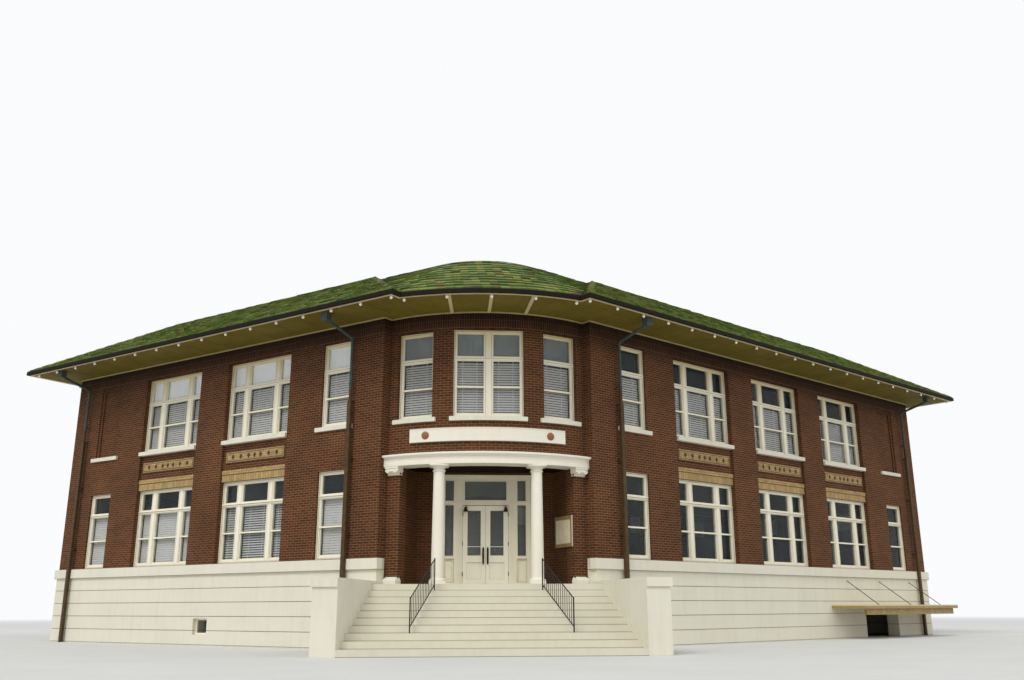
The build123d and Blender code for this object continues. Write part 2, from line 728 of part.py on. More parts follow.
def handrail(side):
    """Iron rail with balusters that follows the pitch of the flight."""
    top = (1340, FLIGHT_TOP_Y - 130, LANDING - RISER)
    foot = (1860, FLIGHT_TOP_Y - 6.5 * TREAD - 60, LANDING - 7 * RISER)
    high = 780
    bar = 12
    rail = Pos(*top[:2], top[2] + high / 2) * Box(30, 30, high)
    rail += Pos(*foot[:2], foot[2] + high / 2) * Box(30, 30, high)
    a = Vector(*top)
    b = Vector(*foot)
    for lift in (130, high - 20):
        start, end = a + Vector(0, 0, lift), b + Vector(0, 0, lift)
        rail += extrude(Plane(origin=start, z_dir=end - start) * Circle(bar), amount=(end - start).length)
    count = 15
    for i in range(1, count):
        p = a + (b - a) * (i / count)
        low, up = p.Z + 130, p.Z + high - 20
        rail += Pos(p.X, p.Y, (low + up) / 2) * Cylinder(7, up - low)
    return rail if side == "right" else mirror(rail, about=Plane.YZ)


def door_bell(side):
    """Small bell on a bracket at the upper outer corner of a leaf."""
    x, z = 547, 3640
    y = door_face_y - 80
    profile = [(0, z - 90), (66, z - 90), (62, z - 70), (44, z - 10), (34, z + 30), (14, z + 50), (0, z + 50)]
    bell = revolve(Face(Wire.make_polygon([(px, 0, pz) for px, pz in profile], close=True)), axis=Axis.Z)
    bracket = block(x - 8, x + 8, y - 8, door_face_y, z + 40, z + 64)
    whole = Pos(x, y, 0) * bell + bracket
    return whole if side == "right" else mirror(whole, about=Plane.YZ)


def plaque():
    """Framed plaque on the right side wall of the porch."""
    run = (PORCH_HALF_BACK - PORCH_HALF_FRONT, PORCH_BACK_Y)
    angle = degrees(atan2(run[1], run[0]))
    long = sqrt(run[0] ** 2 + run[1] ** 2)
    plate = block(long / 2 - 450, long / 2 + 450, 0, 40, 2580, 3390)
    return Pos(PORCH_HALF_FRONT, 0, 0) * Rot(0, 0, angle) * plate


# Floors and roof
def ground_floor():
    floor = slab(outline_face(-WALL), LANDING - FLOOR_SLAB, LANDING)
    return floor - flight_region(0, LANDING + 1)


def upper_floor():
    return slab(outline_face(-WALL), UPPER_FLOOR - FLOOR_SLAB, UPPER_FLOOR)


def porch_ceiling():
    ceiling = porch_void(ENTABLATURE_LOW, ENTABLATURE_LOW + 60)
    return ceiling & bay_disc(BAY_RADIUS - WALL, ENTABLATURE_LOW, ENTABLATURE_LOW + 60)


def bay_disc(radius, low, high):
    return Pos(0, BAY_CENTRE_Y, (low + high) / 2) * Cylinder(radius, high - low)


def centre_zone(low, high):
    """Plan of the roof over the bay, out to its valleys with the wings."""
    eave_d = centre_d - BAY_RADIUS - EAVE_BAY
    right = [plan_point(-EAVE_WING, -EAVE_WING - 500), plan_point(-EAVE_WING, eave_d),
             plan_point(INNER_RUN - EAVE_WING, eave_d + BAY_RUN), (0, BAY_CENTRE_Y)]
    return prism(right + mirrored(right[:3][::-1]), low, high)


def soffit():
    low, high = SOFFIT, SOFFIT + SOFFIT_BOARD
    return eave_plan(low, high, GUTTER_WIDE) - slab(ring_face, low - 1, high + 1)


def gutter():
    low, high = SOFFIT, SOFFIT + GUTTER_HIGH
    return eave_plan(low, high) - eave_plan(low - 1, high + 1, GUTTER_WIDE)


def roofs():
    """The flat deck, and the sloping skirt cut into a centre piece and one piece for each wing."""
    shell = roof_mass() - roof_mass(ROOF_THICK)
    low, high = SOFFIT + GUTTER_HIGH, ROOF_TOP
    deck = shell & eave_plan(ROOF_TOP - ROOF_THICK, ROOF_TOP)
    skirt = shell & eave_plan(low, ROOF_TOP - ROOF_THICK)
    zone = centre_zone(low, high)
    rest = skirt - zone
    return {"roof_deck": deck, "roof_centre": skirt & zone, "roof_right": rest & zone_half("right", low, high),
            "roof_left": rest & zone_half("left", low, high)}


def downspout(side, s):
    """Conductor head at the eave, a round run down to the wall and a square pipe below, with their straps."""
    head_d = -EAVE_WING + 330
    pipe_d = -CAP_PROUD - 50
    a, b = Vector(s, head_d, SOFFIT - 190), Vector(s, pipe_d, SOFFIT - 480)
    spout = block(s - 110, s + 110, head_d - 90, head_d + 90, SOFFIT - 240, SOFFIT)
    spout += extrude(Plane(origin=a, z_dir=b - a) * Circle(PIPE_R), amount=(b - a).length)
    spout += Pos(*b) * Sphere(PIPE_R)
    spout += Pos(s, pipe_d, (PIPE_JOINT_Z + b.Z) / 2) * Cylinder(PIPE_R, b.Z - PIPE_JOINT_Z)
    spout += block(s - 60, s + 60, pipe_d - 45, pipe_d + 45, 0, PIPE_JOINT_Z)
    for z in STRAP_LEVELS:
        spout += block(s - 90, s + 90, pipe_d, 0, z, z + 40)
    for z in RING_LEVELS:
        spout += Pos(s, pipe_d, z + 20) * Cylinder(62, 40)
        spout += block(s - 20, s + 20, pipe_d, 0, z, z + 40)
    return on_wing(side, spout)


def spandrels(side):
    """Tan panels with a row of diamonds, and the band and soldier lintel below them."""
    pieces = []
    for s, wide, blind in front_windows(side):
        if wide != TRIPLE_WIDE:
            continue
        face = PANEL_RECESS
        panel = block(-1240, 1240, face - 25, face, 5210, 5560)
        band = block(-wide / 2, wide / 2, face - 40, face, LOWER_HEAD + 215, LOWER_HEAD + 340)
        lintel = block(-wide / 2, wide / 2, face - 20, face, LOWER_HEAD, LOWER_HEAD + 215)
        pieces += [wing_place(side, s, piece) for piece in (panel, band + lintel)]
    return gather(pieces)


def window_sets():
    """Frames, glass and sills, by node name."""
    sets = {}

    def fill(place, wide, low, high, put, recessed=False, sill=window_sill):
        back = WINDOW_REVEAL + (PANEL_RECESS if recessed else 0)
        frame = Pos(0, back, 0) * window_frame(wide, low, high)
        sets.setdefault(f"window_frames_{place}", []).append(put(frame))
        panes = sets.setdefault(f"window_glass_{place}", [])
        panes.extend(put(Pos(0, back, 0) * pane) for pane in window_glass(wide, low, high))
        if low == UPPER_SILL:
            sets.setdefault("window_sills", []).append(put(sill(wide, low, back + FRAME_DEEP)))

    for side in TRIPLES:
        for s, wide, blind in front_windows(side):
            for low, high in STOREYS.values():
                put = partial(wing_place, side, s)
                if blind and low == UPPER_SILL:
                    sets["window_sills"].append(put(window_sill(wide, low, 0.1) & block(-2000, 2000, -200, 0, 0, low)))
                else:
                    fill(side, wide, low, high, put, wide == TRIPLE_WIDE)
        for s, wide, blind in rear_windows(side):
            for low, high in STOREYS.values():
                fill("rear", wide, low, high, partial(wing_place, side, s, rear=True))
        for d in END_WINDOWS:
            for low, high in STOREYS.values():
                fill("rear", SINGLE_WIDE, low, high, partial(end_place, side, d))
    frame, pane = basement_window()
    sets["window_frames_left"].append(frame)
    sets["window_glass_left"].append(pane)
    crown = BAY_CENTRE_Y - BAY_RADIUS
    for angle, wide in BAY_WINDOWS.values():
        back = WINDOW_REVEAL + PANEL_RECESS
        fill("bay", wide, UPPER_SILL, UPPER_HEAD, lambda part: at_bay(angle, Pos(0, crown, 0) * part), True,
             lambda w, low, deep: Pos(0, -crown, 0) * bay_sill(w, low, deep))
    return sets


def basement_window():
    """Frame and pane of the small window in the left wing's base."""
    half, bar = BASEMENT_WINDOW / 2, BASEMENT_BAR
    low, high = BASEMENT_WINDOW_Z
    frame = block(-half, half, WINDOW_REVEAL, WINDOW_REVEAL + 60, low, high)
    frame -= block(-half + bar, half - bar, 0, 200, low + bar, high - bar)
    pane = block(-half + bar, half - bar, WINDOW_REVEAL + 26, WINDOW_REVEAL + 26 + GLASS, low + bar, high - bar)
    return [wing_place("left", BASEMENT_WINDOW_S, piece) for piece in (frame, pane)]


def both(make):
    """The left and the right copy of a part, as solids of one node."""
    return gather([make("left"), make("right")])


def main():
    os.makedirs("parts", exist_ok=True)
    for side in TRIPLES:
        save(f"wall_front_{side}", wing_front_wall(side))
        save(f"wall_rear_{side}", wing_rear_wall(side))
        save(f"base_{side}", base(side))
        save(f"door_{side}", door_leaf(side))
        save(f"door_glass_{side}", door_glass(side))
        save(f"door_pull_{side}", door_pull(side))
        save(f"door_bell_{side}", door_bell(side))
    upper = bay_upper_wall()
    for side in BAY_WINDOWS:
        save(f"bay_wall_{side}", upper & bay_sector(side))
    for name, make in (("wall_ends", wing_end_wall), ("cheek_walls", cheek), ("porch_piers", porch_pier),
                       ("porch_side_walls", porch_side), ("porch_back_walls", porch_back), ("columns", column),
                       ("handrails", handrail), ("spandrels", spandrels)):
        save(name, both(make))
    for name, make in (("porch_back_over", porch_back_over), ("steps", steps), ("basement_canopy", basement_canopy),
                       ("entablature", entablature), ("sign_band", sign_band), ("entrance_frame", entrance_frame),
                       ("entrance_glass", entrance_glass), ("plaque", plaque), ("porch_ceiling", porch_ceiling),
                       ("ground_floor", ground_floor), ("upper_floor", upper_floor), ("soffit", soffit),
                       ("gutter", gutter)):
        save(name, make())
    save("downspouts", gather([downspout(side, s) for side in TRIPLES
                               for s in (FIRST_DOWNSPOUT, wing_length(side) - LAST_DOWNSPOUT)]))
    for name, piece in roofs().items():
        save(name, piece)
    for name, solids in window_sets().items():
        save(name, gather(solids))


main()
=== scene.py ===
"""The town hall's looks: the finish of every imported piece, and the finer pieces that dress them.

Lengths are metres in the frame's own axes: +X to the right, +Y into the building, +Z up. A facade point is
given as u along the wall, n outwards from its face and z above the ground.
"""
import json
import random
from collections import defaultdict
from math import atan2, ceil, cos, pi, radians, sin, sqrt, tan

import bmesh
import bpy
from mathutils import Matrix, Vector


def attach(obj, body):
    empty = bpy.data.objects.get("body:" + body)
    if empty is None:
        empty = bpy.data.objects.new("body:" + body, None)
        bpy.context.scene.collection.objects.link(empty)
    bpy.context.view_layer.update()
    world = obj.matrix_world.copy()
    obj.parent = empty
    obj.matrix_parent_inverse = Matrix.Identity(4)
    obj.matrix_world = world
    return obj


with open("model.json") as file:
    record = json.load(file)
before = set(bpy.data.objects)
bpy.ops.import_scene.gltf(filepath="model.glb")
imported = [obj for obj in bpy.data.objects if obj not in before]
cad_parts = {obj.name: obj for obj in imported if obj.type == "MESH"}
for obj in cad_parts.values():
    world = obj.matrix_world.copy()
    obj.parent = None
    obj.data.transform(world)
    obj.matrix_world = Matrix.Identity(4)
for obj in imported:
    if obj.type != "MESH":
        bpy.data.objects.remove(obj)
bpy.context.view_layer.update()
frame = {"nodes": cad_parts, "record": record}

# Plan and levels, as in the model of the building
HALF_FRONT = 2.850
SWEEP = radians(36.93)
WING_DEPTH = 9.500
BAY_SPACING = 3.930
FIRST_SINGLE = 1.710
FIRST_TRIPLE = 4.900
LAST_SINGLE_GAP = 3.220
REAR_SINGLE_SHIFT = 0.650
END_MARGIN = 1.830
TRIPLES = {"left": 2, "right": 3}
BAY_RADIUS = 4.391
BAY_CENTRE_Y = 3.734
LANDING = 1.600
LOWER_SILL = 2.290
LOWER_HEAD = 4.655
ENTABLATURE_LOW = 4.630
ENTABLATURE_HIGH = 4.930
UPPER_SILL = 5.890
UPPER_HEAD = 8.280
SOFFIT = 8.763
ROOF_TOP = 11.010
EAVE_WING = 1.550
EAVE_END = 0.850
EAVE_BAY = 1.700
REAR_EAVE = WING_DEPTH + EAVE_WING
GUTTER_HIGH = 0.105
GUTTER_WIDE = 0.130
ROOF_RUN = 3.650
INNER_RUN = 3.880
BAY_RUN = 3.770
TRIPLE_WIDE = 2.700
SINGLE_WIDE = 1.060
BAY_CENTRE_WIDE = 1.870
BAY_SIDE_ANGLE = radians(26.9)
PANEL_RECESS = 0.090
WINDOW_REVEAL = 0.090
JAMB = 0.070
MULLION = 0.210
SIDE_LIGHT = 0.530
TRANSOM_BAR = 0.070
MEETING_RAIL = 0.045
TRANSOM_SHARE = {LOWER_SILL: 0.256, UPPER_SILL: 0.298}
STOREYS = ((LOWER_SILL, LOWER_HEAD), (UPPER_SILL, UPPER_HEAD))
END_WINDOWS = (WING_DEPTH * 0.3, WING_DEPTH * 0.7)


def wing_length(side):
    return FIRST_TRIPLE + (TRIPLES[side] - 1) * BAY_SPACING + LAST_SINGLE_GAP + END_MARGIN


def end_eave(side):
    return wing_length(side) + EAVE_END


def sign_of(side):
    return 1 if side == "right" else -1


def wing_point(side, s, d, z):
    """World point of a place in a wing's own plan frame: s along its front, d into its depth."""
    x = HALF_FRONT + s * cos(SWEEP) - d * sin(SWEEP)
    return Vector((sign_of(side) * x, s * sin(SWEEP) + d * cos(SWEEP), z))


def wing_coords(x, y):
    """A wing's own plan coordinates of a world plan point on the right."""
    return ((x - HALF_FRONT) * cos(SWEEP) + y * sin(SWEEP), y * cos(SWEEP) - (x - HALF_FRONT) * sin(SWEEP))


def fold_at(d):
    """Where along a wing its line at depth d meets the other wing's."""
    return (d * sin(SWEEP) - HALF_FRONT) / cos(SWEEP)


# Where a facade's own u, n and z lie in the world
def on_front(side, s=0.0):
    return lambda u, n, z: wing_point(side, s + u, -n, z)


def on_rear(side, s=0.0):
    return lambda u, n, z: wing_point(side, s + u, WING_DEPTH + n, z)


def on_end(side, d=0.0):
    return lambda u, n, z: wing_point(side, wing_length(side) + n, d + u, z)


def on_bay(angle=0.0, radius=BAY_RADIUS):
    def place(u, n, z):
        r = radius + n
        return Vector((u * cos(angle) + r * sin(angle), BAY_CENTRE_Y + u * sin(angle) - r * cos(angle), z))
    return place


def circle(radius, steps):
    """Even points round a circle, from the first axis towards the second."""
    return [(radius * cos(2 * pi * k / steps), radius * sin(2 * pi * k / steps)) for k in range(steps)]


BOX_FACES = ((3, 2, 1, 0), (4, 5, 6, 7), (0, 1, 5, 4), (1, 2, 6, 5), (2, 3, 7, 6), (3, 0, 4, 7))


class Shape:
    """Points and faces of one piece, gathered from closed forms."""

    def __init__(self):
        self.points = []
        self.faces = []

    def add(self, points, faces):
        start = len(self.points)
        self.points.extend(tuple(p) for p in points)
        self.faces.extend(tuple(start + i for i in face) for face in faces)

    def box(self, place, u0, u1, n0, n1, z0, z1):
        corners = [place(u, n, z) for z in (z0, z1) for u, n in ((u0, n0), (u1, n0), (u1, n1), (u0, n1))]
        self.add(corners, BOX_FACES)

    def loft(self, rings, closed=False):
        """Closed form through rings of equal size; an open run gets a cap at each end."""
        size, count = len(rings[0]), len(rings)
        faces = []
        for i in range(count if closed else count - 1):
            a, b = i * size, (i + 1) % count * size
            faces += [(a + j, a + (j + 1) % size, b + (j + 1) % size, b + j) for j in range(size)]
        if not closed:
            faces += [tuple(range(size))[::-1], tuple(range((count - 1) * size, count * size))]
        self.add([p for ring in rings for p in ring], faces)

    def lathe(self, centre, profile, steps):
        """Turned form from (radius, z) points, both ends on the axis."""
        x, y, z = centre
        inner = profile[1:-1]
        points = [(x, y, z + profile[0][1])]
        points += [(x + a, y + b, z + level) for radius, level in inner for a, b in circle(radius, steps)]
        points.append((x, y, z + profile[-1][1]))
        faces = [(0, 1 + (k + 1) % steps, 1 + k) for k in range(steps)]
        for i in range(len(inner) - 1):
            a, b = 1 + i * steps, 1 + (i + 1) * steps
            faces += [(a + k, a + (k + 1) % steps, b + (k + 1) % steps, b + k) for k in range(steps)]
        top = 1 + (len(inner) - 1) * steps
        faces += [(top + k, top + (k + 1) % steps, len(points) - 1) for k in range(steps)]
        self.add(points, faces)

    def tube(self, route, radius, steps):
        """Round bar along straight runs."""
        rings = []
        for i, p in enumerate(route):
            before = route[max(i - 1, 0)]
            after = route[min(i + 1, len(route) - 1)]
            ahead = (Vector(after) - Vector(before)).normalized()
            side = ahead.cross(Vector((0, 0, 1)))
            side = side.normalized() if side.length > 0.01 else Vector((1, 0, 0))
            up = side.cross(ahead)
            rings.append([Vector(p) + radius * (a * side + b * up) for a, b in circle(1, steps)])
        self.loft(rings)

    def piece(self, name, finish, slot=None, body="building", smooth=False):
        """Makes the object, with its faces turned outwards, and lets it ride on its body."""
        mesh = bpy.data.meshes.new(name)
        mesh.from_pydata(self.points, [], self.faces)
        work = bmesh.new()
        work.from_mesh(mesh)
        bmesh.ops.recalc_face_normals(work, faces=work.faces)
        work.to_mesh(mesh)
        work.free()
        if smooth:
            mesh.shade_smooth()
        mesh.materials.append(FINISH[finish])
        made = bpy.data.objects.new(name, mesh)
        bpy.context.scene.collection.objects.link(made)
        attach(made, body)
        slot or finish


def ring_of_bars(shape, place, u0, u1, z0, z1, wide, n0, n1):
    """Four bars round the inside of a rectangle."""
    shape.box(place, u0, u0 + wide, n0, n1, z0, z1)
    shape.box(place, u1 - wide, u1, n0, n1, z0, z1)
    shape.box(place, u0 + wide, u1 - wide, n0, n1, z0, z0 + wide)
    shape.box(place, u0 + wide, u1 - wide, n0, n1, z1 - wide, z1)


def plan_normals(path, closed):
    """Outward offset direction at each point of a plan path walked with the outside on its right."""
    count = len(path)
    normals = []
    for i, p in enumerate(path):
        a = path[i - 1] if closed or i > 0 else None
        b = path[(i + 1) % count] if closed or i < count - 1 else None
        sides = []
        for start, end in ((a, p), (p, b)):
            if start is not None and end is not None:
                run = (Vector(end) - Vector(start)).normalized()
                sides.append(Vector((run.y, -run.x)))
        mean = sum(sides, Vector((0, 0))).normalized()
        normals.append(mean / max(mean.dot(sides[0]), 0.3))
    return normals


def plan_sweep(shape, path, profile, closed=False):
    """Sweeps (out, z) profile points along a plan path with mitred corners."""
    shape.loft([[(p[0] + normal.x * n, p[1] + normal.y * n, z) for n, z in profile]
                for p, normal in zip(path, plan_normals(path, closed))], closed)


def arc_path(radius, start, end, steps):
    """Plan points round the bay, from one angle off the crown to another."""
    angles = [start + (end - start) * i / steps for i in range(steps + 1)]
    return [(radius * sin(a), BAY_CENTRE_Y - radius * cos(a)) for a in angles]


def flank_angle(radius, s=0.0):
    """Angle off the crown at which a circle round the bay's centre meets a wing's line of constant s."""
    cs, cd = wing_coords(0, BAY_CENTRE_Y)
    p = wing_point("right", s, cd - sqrt(radius ** 2 - (s - cs) ** 2), 0)
    return atan2(p.x, BAY_CENTRE_Y - p.y)


def outline(arc, corners, rear):
    """Plan path round the building with the outside on its right.

    It follows an arc round the bay, the right wing's (s, d) corners from the bay outwards, the fold between
    the rear lines, and the left wing's corners back to the bay.
    """
    path = arc + [tuple(wing_point("right", s, d, 0).xy) for s, d in corners("right")]
    path.append((0.0, wing_point("right", fold_at(rear), rear, 0).y))
    return path + [tuple(wing_point("left", s, d, 0).xy) for s, d in reversed(corners("left"))]


def eave_path(inset=0.0):
    """The whole eave line, or one set in from it."""
    front, rear = -EAVE_WING + inset, REAR_EAVE - inset
    radius = BAY_RADIUS + EAVE_BAY - inset
    turn = flank_angle(radius, front)

    def corners(side):
        end = end_eave(side) - inset
        return [(front, front), (end, front), (end, rear)]
    return outline(arc_path(radius, -turn, turn, 40), corners, rear)


def wall_path():
    """The outline of the walls."""
    turn = flank_angle(BAY_RADIUS)

    def corners(side):
        return [(0, 0), (wing_length(side), 0), (wing_length(side), WING_DEPTH)]
    return outline(arc_path(BAY_RADIUS, -turn, turn, 32), corners, WING_DEPTH)


# Windows
STAFF_BEAD = 0.022
SASH_STILE = 0.026
SASH_INNER = 0.058
SASH_OUTER = (0.034, 0.016, 0.016)
SASH_RAILS = ((0.050, 0.0), (0.0, 0.040), (0.030, 0.030))
# Dark strips of painted shadow in a window: inside the bead, beside the mullions, under the transom's drip
# and under the meeting rail
SHADOW_LINE = 0.010
SHADOW_LINE_PROUD = 0.002
MULLION_SHADOW_LINE = (0.024, 0.031)
BLIND_BACK = 0.150
SHEET_BACK = 0.080
DARK_BACKING_BACK = 0.190
SLAT_PITCH = 0.068
SLAT_WIDE = 0.062
SLAT_HALF_THICK = 0.0015
FIRST_SLAT = 0.05
SLATS_REST = 0.06
TAPE_PLACES = (0.22, 0.74)
BACK_TILT = radians(52)
FOLDS = 9
FOLD_DEEP = 0.004
BAY_WINDOWS = ((-BAY_SIDE_ANGLE, SINGLE_WIDE), (0.0, BAY_CENTRE_WIDE), (BAY_SIDE_ANGLE, SINGLE_WIDE))


def lights_of(wide):
    """Clear widths of the lights in a frame, as (from, to) measured from its middle."""
    half = wide / 2
    if wide == TRIPLE_WIDE:
        first = -half + JAMB
        second = first + SIDE_LIGHT + MULLION
        return [(first, first + SIDE_LIGHT), (second, -second), (-first - SIDE_LIGHT, -first)]
    if wide > SINGLE_WIDE:
        return [(-half + JAMB, -MULLION / 2), (MULLION / 2, half - JAMB)]
    return [(-half + JAMB, half - JAMB)]


def rows_of(low, high):
    """Clear heights of the lower sash, the upper sash and the transom light."""
    clear = high - low - 2 * JAMB
    transom_low = high - JAMB - clear * TRANSOM_SHARE[low]
    sash_top = transom_low - TRANSOM_BAR
    middle = (low + JAMB + sash_top) / 2
    return [(low + JAMB, middle - MEETING_RAIL / 2), (middle + MEETING_RAIL / 2, sash_top),
            (transom_low, high - JAMB)]


def triple_places(side):
    return [FIRST_TRIPLE + i * BAY_SPACING for i in range(TRIPLES[side])]


def front_windows(side):
    """Middle and width of the windows along a wing's front; the last has no window above it."""
    places = triple_places(side)
    return [(FIRST_SINGLE, SINGLE_WIDE), *((s, TRIPLE_WIDE) for s in places),
            (places[-1] + LAST_SINGLE_GAP, SINGLE_WIDE)]


def slat_tilt(side, low, s):
    """How far the slats of a front window's blinds are closed; None where the blinds are drawn up."""
    if low == UPPER_SILL:
        return radians(68 if side == "left" else 62)
    if side == "left":
        return radians(46 if s == FIRST_TRIPLE else 78)
    return None


def window_places():
    """Every window: group, place, width, low, high, depth of its frame behind the wall, tilt of its slats."""
    deep = PANEL_RECESS + WINDOW_REVEAL
    found = []
    for side in TRIPLES:
        windows = front_windows(side)
        for s, wide in windows:
            back = deep if wide == TRIPLE_WIDE else WINDOW_REVEAL
            for low, high in STOREYS[:1] if s == windows[-1][0] else STOREYS:
                found.append((side, on_front(side, s), wide, low, high, back, slat_tilt(side, low, s)))
        behind = [(on_rear(side, FIRST_TRIPLE + REAR_SINGLE_SHIFT), SINGLE_WIDE)]
        behind += [(on_rear(side, s), wide) for s, wide in windows[2:]]
        behind += [(on_end(side, d), SINGLE_WIDE) for d in END_WINDOWS]
        found += [("rear", place, wide, low, high, WINDOW_REVEAL, BACK_TILT)
                  for place, wide in behind for low, high in STOREYS]
    found += [("bay", on_bay(angle), wide, *STOREYS[1], deep, slat_tilt("bay", UPPER_SILL, 0.0))
              for angle, wide in BAY_WINDOWS]
    return found


def dress_window(trim, seams, blinds, place, wide, low, high, back, tilt):
    """Bead, transom bar and sashes of one window, its dark lines of painted shadow, and the louvre blinds
    behind its sashes.
    """
    half, face = wide / 2, -back
    edge = half - STAFF_BEAD
    shadow_line_face = face + SHADOW_LINE_PROUD
    ring_of_bars(trim, place, -half, half, low, high, STAFF_BEAD, face, face + STAFF_BEAD)
    # Painted shadow inside the bead
    ring_of_bars(seams, place, -edge, edge, low + STAFF_BEAD, high - STAFF_BEAD, SHADOW_LINE, face, shadow_line_face)
    rows = rows_of(low, high)
    bar_low, bar_high = rows[1][1], rows[2][0]
    trim.box(place, -edge, edge, face, face + 0.046, bar_low + 0.030, bar_high - 0.010)
    trim.box(place, -edge, edge, face, face + 0.018, bar_low - 0.016, bar_low + 0.030)
    # Painted shadow under the transom's drip
    seams.box(place, -edge, edge, face, face + 0.020, bar_low + 0.020, bar_low + 0.030)
    inner = face - SASH_INNER
    for u0, u1 in lights_of(wide):
        # Painted shadow beside the mullions
        for side, way in ((u0, -1), (u1, 1)):
            if abs(side) < half - JAMB - SHADOW_LINE:
                a, b = sorted(side + way * off for off in MULLION_SHADOW_LINE)
                seams.box(place, a, b, face, shadow_line_face, low + JAMB, high - JAMB)
        left, right = u0 + SASH_STILE, u1 - SASH_STILE
        for (z0, z1), (foot, head), set_back in zip(rows, SASH_RAILS, SASH_OUTER):
            outer = face - set_back
            trim.box(place, u0, left, inner, outer, z0, z1)
            trim.box(place, right, u1, inner, outer, z0, z1)
            if foot:
                trim.box(place, left, right, inner, outer, z0, z0 + foot)
            if head:
                trim.box(place, left, right, inner, outer, z1 - head, z1)
        # Painted shadow under the meeting rail
        meeting = rows[0][1]
        seams.box(place, left, right, inner, face - 0.030, meeting - SHADOW_LINE, meeting)
        if tilt is not None:
            blind_rows(blinds, place, u0 + 0.012, u1 - 0.012, rows[0][0] + 0.01, bar_low + 0.050,
                       face - BLIND_BACK, tilt)


def blind_rows(shape, place, u0, u1, z0, z1, n, tilt):
    """Tilted slats between two heights, with a rail at the top and the bottom and two ladder tapes."""
    rise, run = SLAT_WIDE / 2 * sin(tilt), SLAT_WIDE / 2 * cos(tilt)
    thick = SLAT_HALF_THICK
    for i in range(int((z1 - z0 - SLATS_REST) / SLAT_PITCH)):
        z = z0 + FIRST_SLAT + SLAT_PITCH * i
        section = [(n - run, z + rise - thick), (n + run, z - rise - thick), (n + run, z - rise + thick),
                   (n - run, z + rise + thick)]
        shape.loft([[place(u, a, b) for a, b in section] for u in (u0, u1)])
    shape.box(place, u0, u1, n - 0.025, n + 0.025, z1 - 0.035, z1)
    shape.box(place, u0, u1, n - 0.022, n + 0.022, z0, z0 + 0.018)
    for share in TAPE_PLACES:
        u = u0 + (u1 - u0) * share
        shape.box(place, u - 0.009, u + 0.009, n + run + 0.002, n + run + 0.006, z0, z1)


def pleated_sheet(shape, place, u0, u1, z0, z1, n):
    """A pleated sheet hung between two heights."""
    sections = []
    for k in range(FOLDS + 1):
        u = u0 + (u1 - u0) * k / FOLDS
        front = n - (FOLD_DEEP if k % 2 else 0.0)
        back = front - FOLD_DEEP
        sections.append([place(u, a, z) for a, z in ((front, z0), (back, z0), (back, z1), (front, z1))])
    shape.loft(sections)


def dress_windows():
    trims, seams, blinds, sheets = (defaultdict(Shape) for _ in range(4))
    drawn = Shape()
    for group, place, wide, low, high, back, tilt in window_places():
        dress_window(trims[group], seams[group], blinds[group], place, wide, low, high, back, tilt)
        rows = rows_of(low, high)
        # Sheets behind the transom lights: the pale ones on the left wing's upper storey and the grey ones on
        # the bay stand in for the sky's reflection in the glass, a painted reflection; the pale ones on the
        # rear close off the view through
        if group == "rear" or (low == UPPER_SILL and group != "right"):
            z0, z1 = rows[2]
            for u0, u1 in lights_of(wide):
                pleated_sheet(sheets[group], place, u0 + 0.01, u1 - 0.01, z0 + 0.004, z1 - 0.004,
                              -back - SHEET_BACK)
        # Painted shade: an opaque dark sheet behind each lower rear window keeps the view through the
        # building dark
        if group == "rear" and low == LOWER_SILL:
            pleated_sheet(drawn, place, 0.004 - wide / 2, wide / 2 - 0.004, low + 0.004, rows[1][1] + 0.05,
                          -back - DARK_BACKING_BACK)
    drawn.piece("drawn_shades", "shade_dark", "white_paint")
    for group, shape in trims.items():
        shape.piece(f"window_trim_{group}", "cream_paint")
    for group, shape in seams.items():
        shape.piece(f"window_shadow_lines_{group}", "frame_seam", "cream_paint")
    for group, shape in blinds.items():
        shape.piece(f"blinds_{group}", "blind_white", "white_paint")
    for group, shape in sheets.items():
        finish = "shade_grey" if group == "bay" else "shade_pale"
        shape.piece(f"transom_sheets_{group}", finish, "white_paint")


# Roof
EAVE_Z = SOFFIT + GUTTER_HIGH
BAY_EAVE = BAY_RADIUS + EAVE_BAY
CENTRE_S, CENTRE_D = wing_coords(0, BAY_CENTRE_Y)
TILE_COURSES = 11
FIRST_COURSE = 0.02
COURSES_REST = 0.03
COURSE_SPREAD = 0.08
DECK_GAP = 0.012
TILE_WIDE = 0.24
TILE_BED = -0.004
TILE_BUTT = 0.034
TILE_BUTT_SPREAD = 0.015
TILE_LAP = 0.03
TILE_SLIP = 0.018
TILE_GAP_SHARE = 0.011
LEAST_TILE_SHARE = 0.11
TILE_FACES = [(0, 1, 2, 3), (3, 2, 5, 4), (0, 3, 4), (1, 5, 2), (0, 4, 5, 1)]
CAP_HALF = 0.15
CAP_PITCH = 0.34
CAP_LONG = 1.12
CAP_LIFTS = (0.052, 0.022)
CAP_SPREAD = 0.004
CAP_FALL = 0.012
CAP_THICK = 0.03
HIP_ENDS = (0.055, 0.974)
EDGING_PITCH = 0.32
EDGING_LONG = 1.04
EDGING_SPREAD = 0.024


def slope_point(slope, u, run, lift):
    """Point over a roof slope: u along its eave, run inwards from it, lifted square to the slope."""
    place, total = slope
    tilt = atan2(ROOF_TOP - EAVE_Z, total)
    return place(u, run - lift * sin(tilt), EAVE_Z + run * tan(tilt) + lift * cos(tilt))


def even_marks(start, end, run, shift):
    """Places of the tile joints along a straight course."""
    start -= TILE_WIDE * shift
    return [start + k * TILE_WIDE for k in range(ceil((end - start) / TILE_WIDE) + 1)]


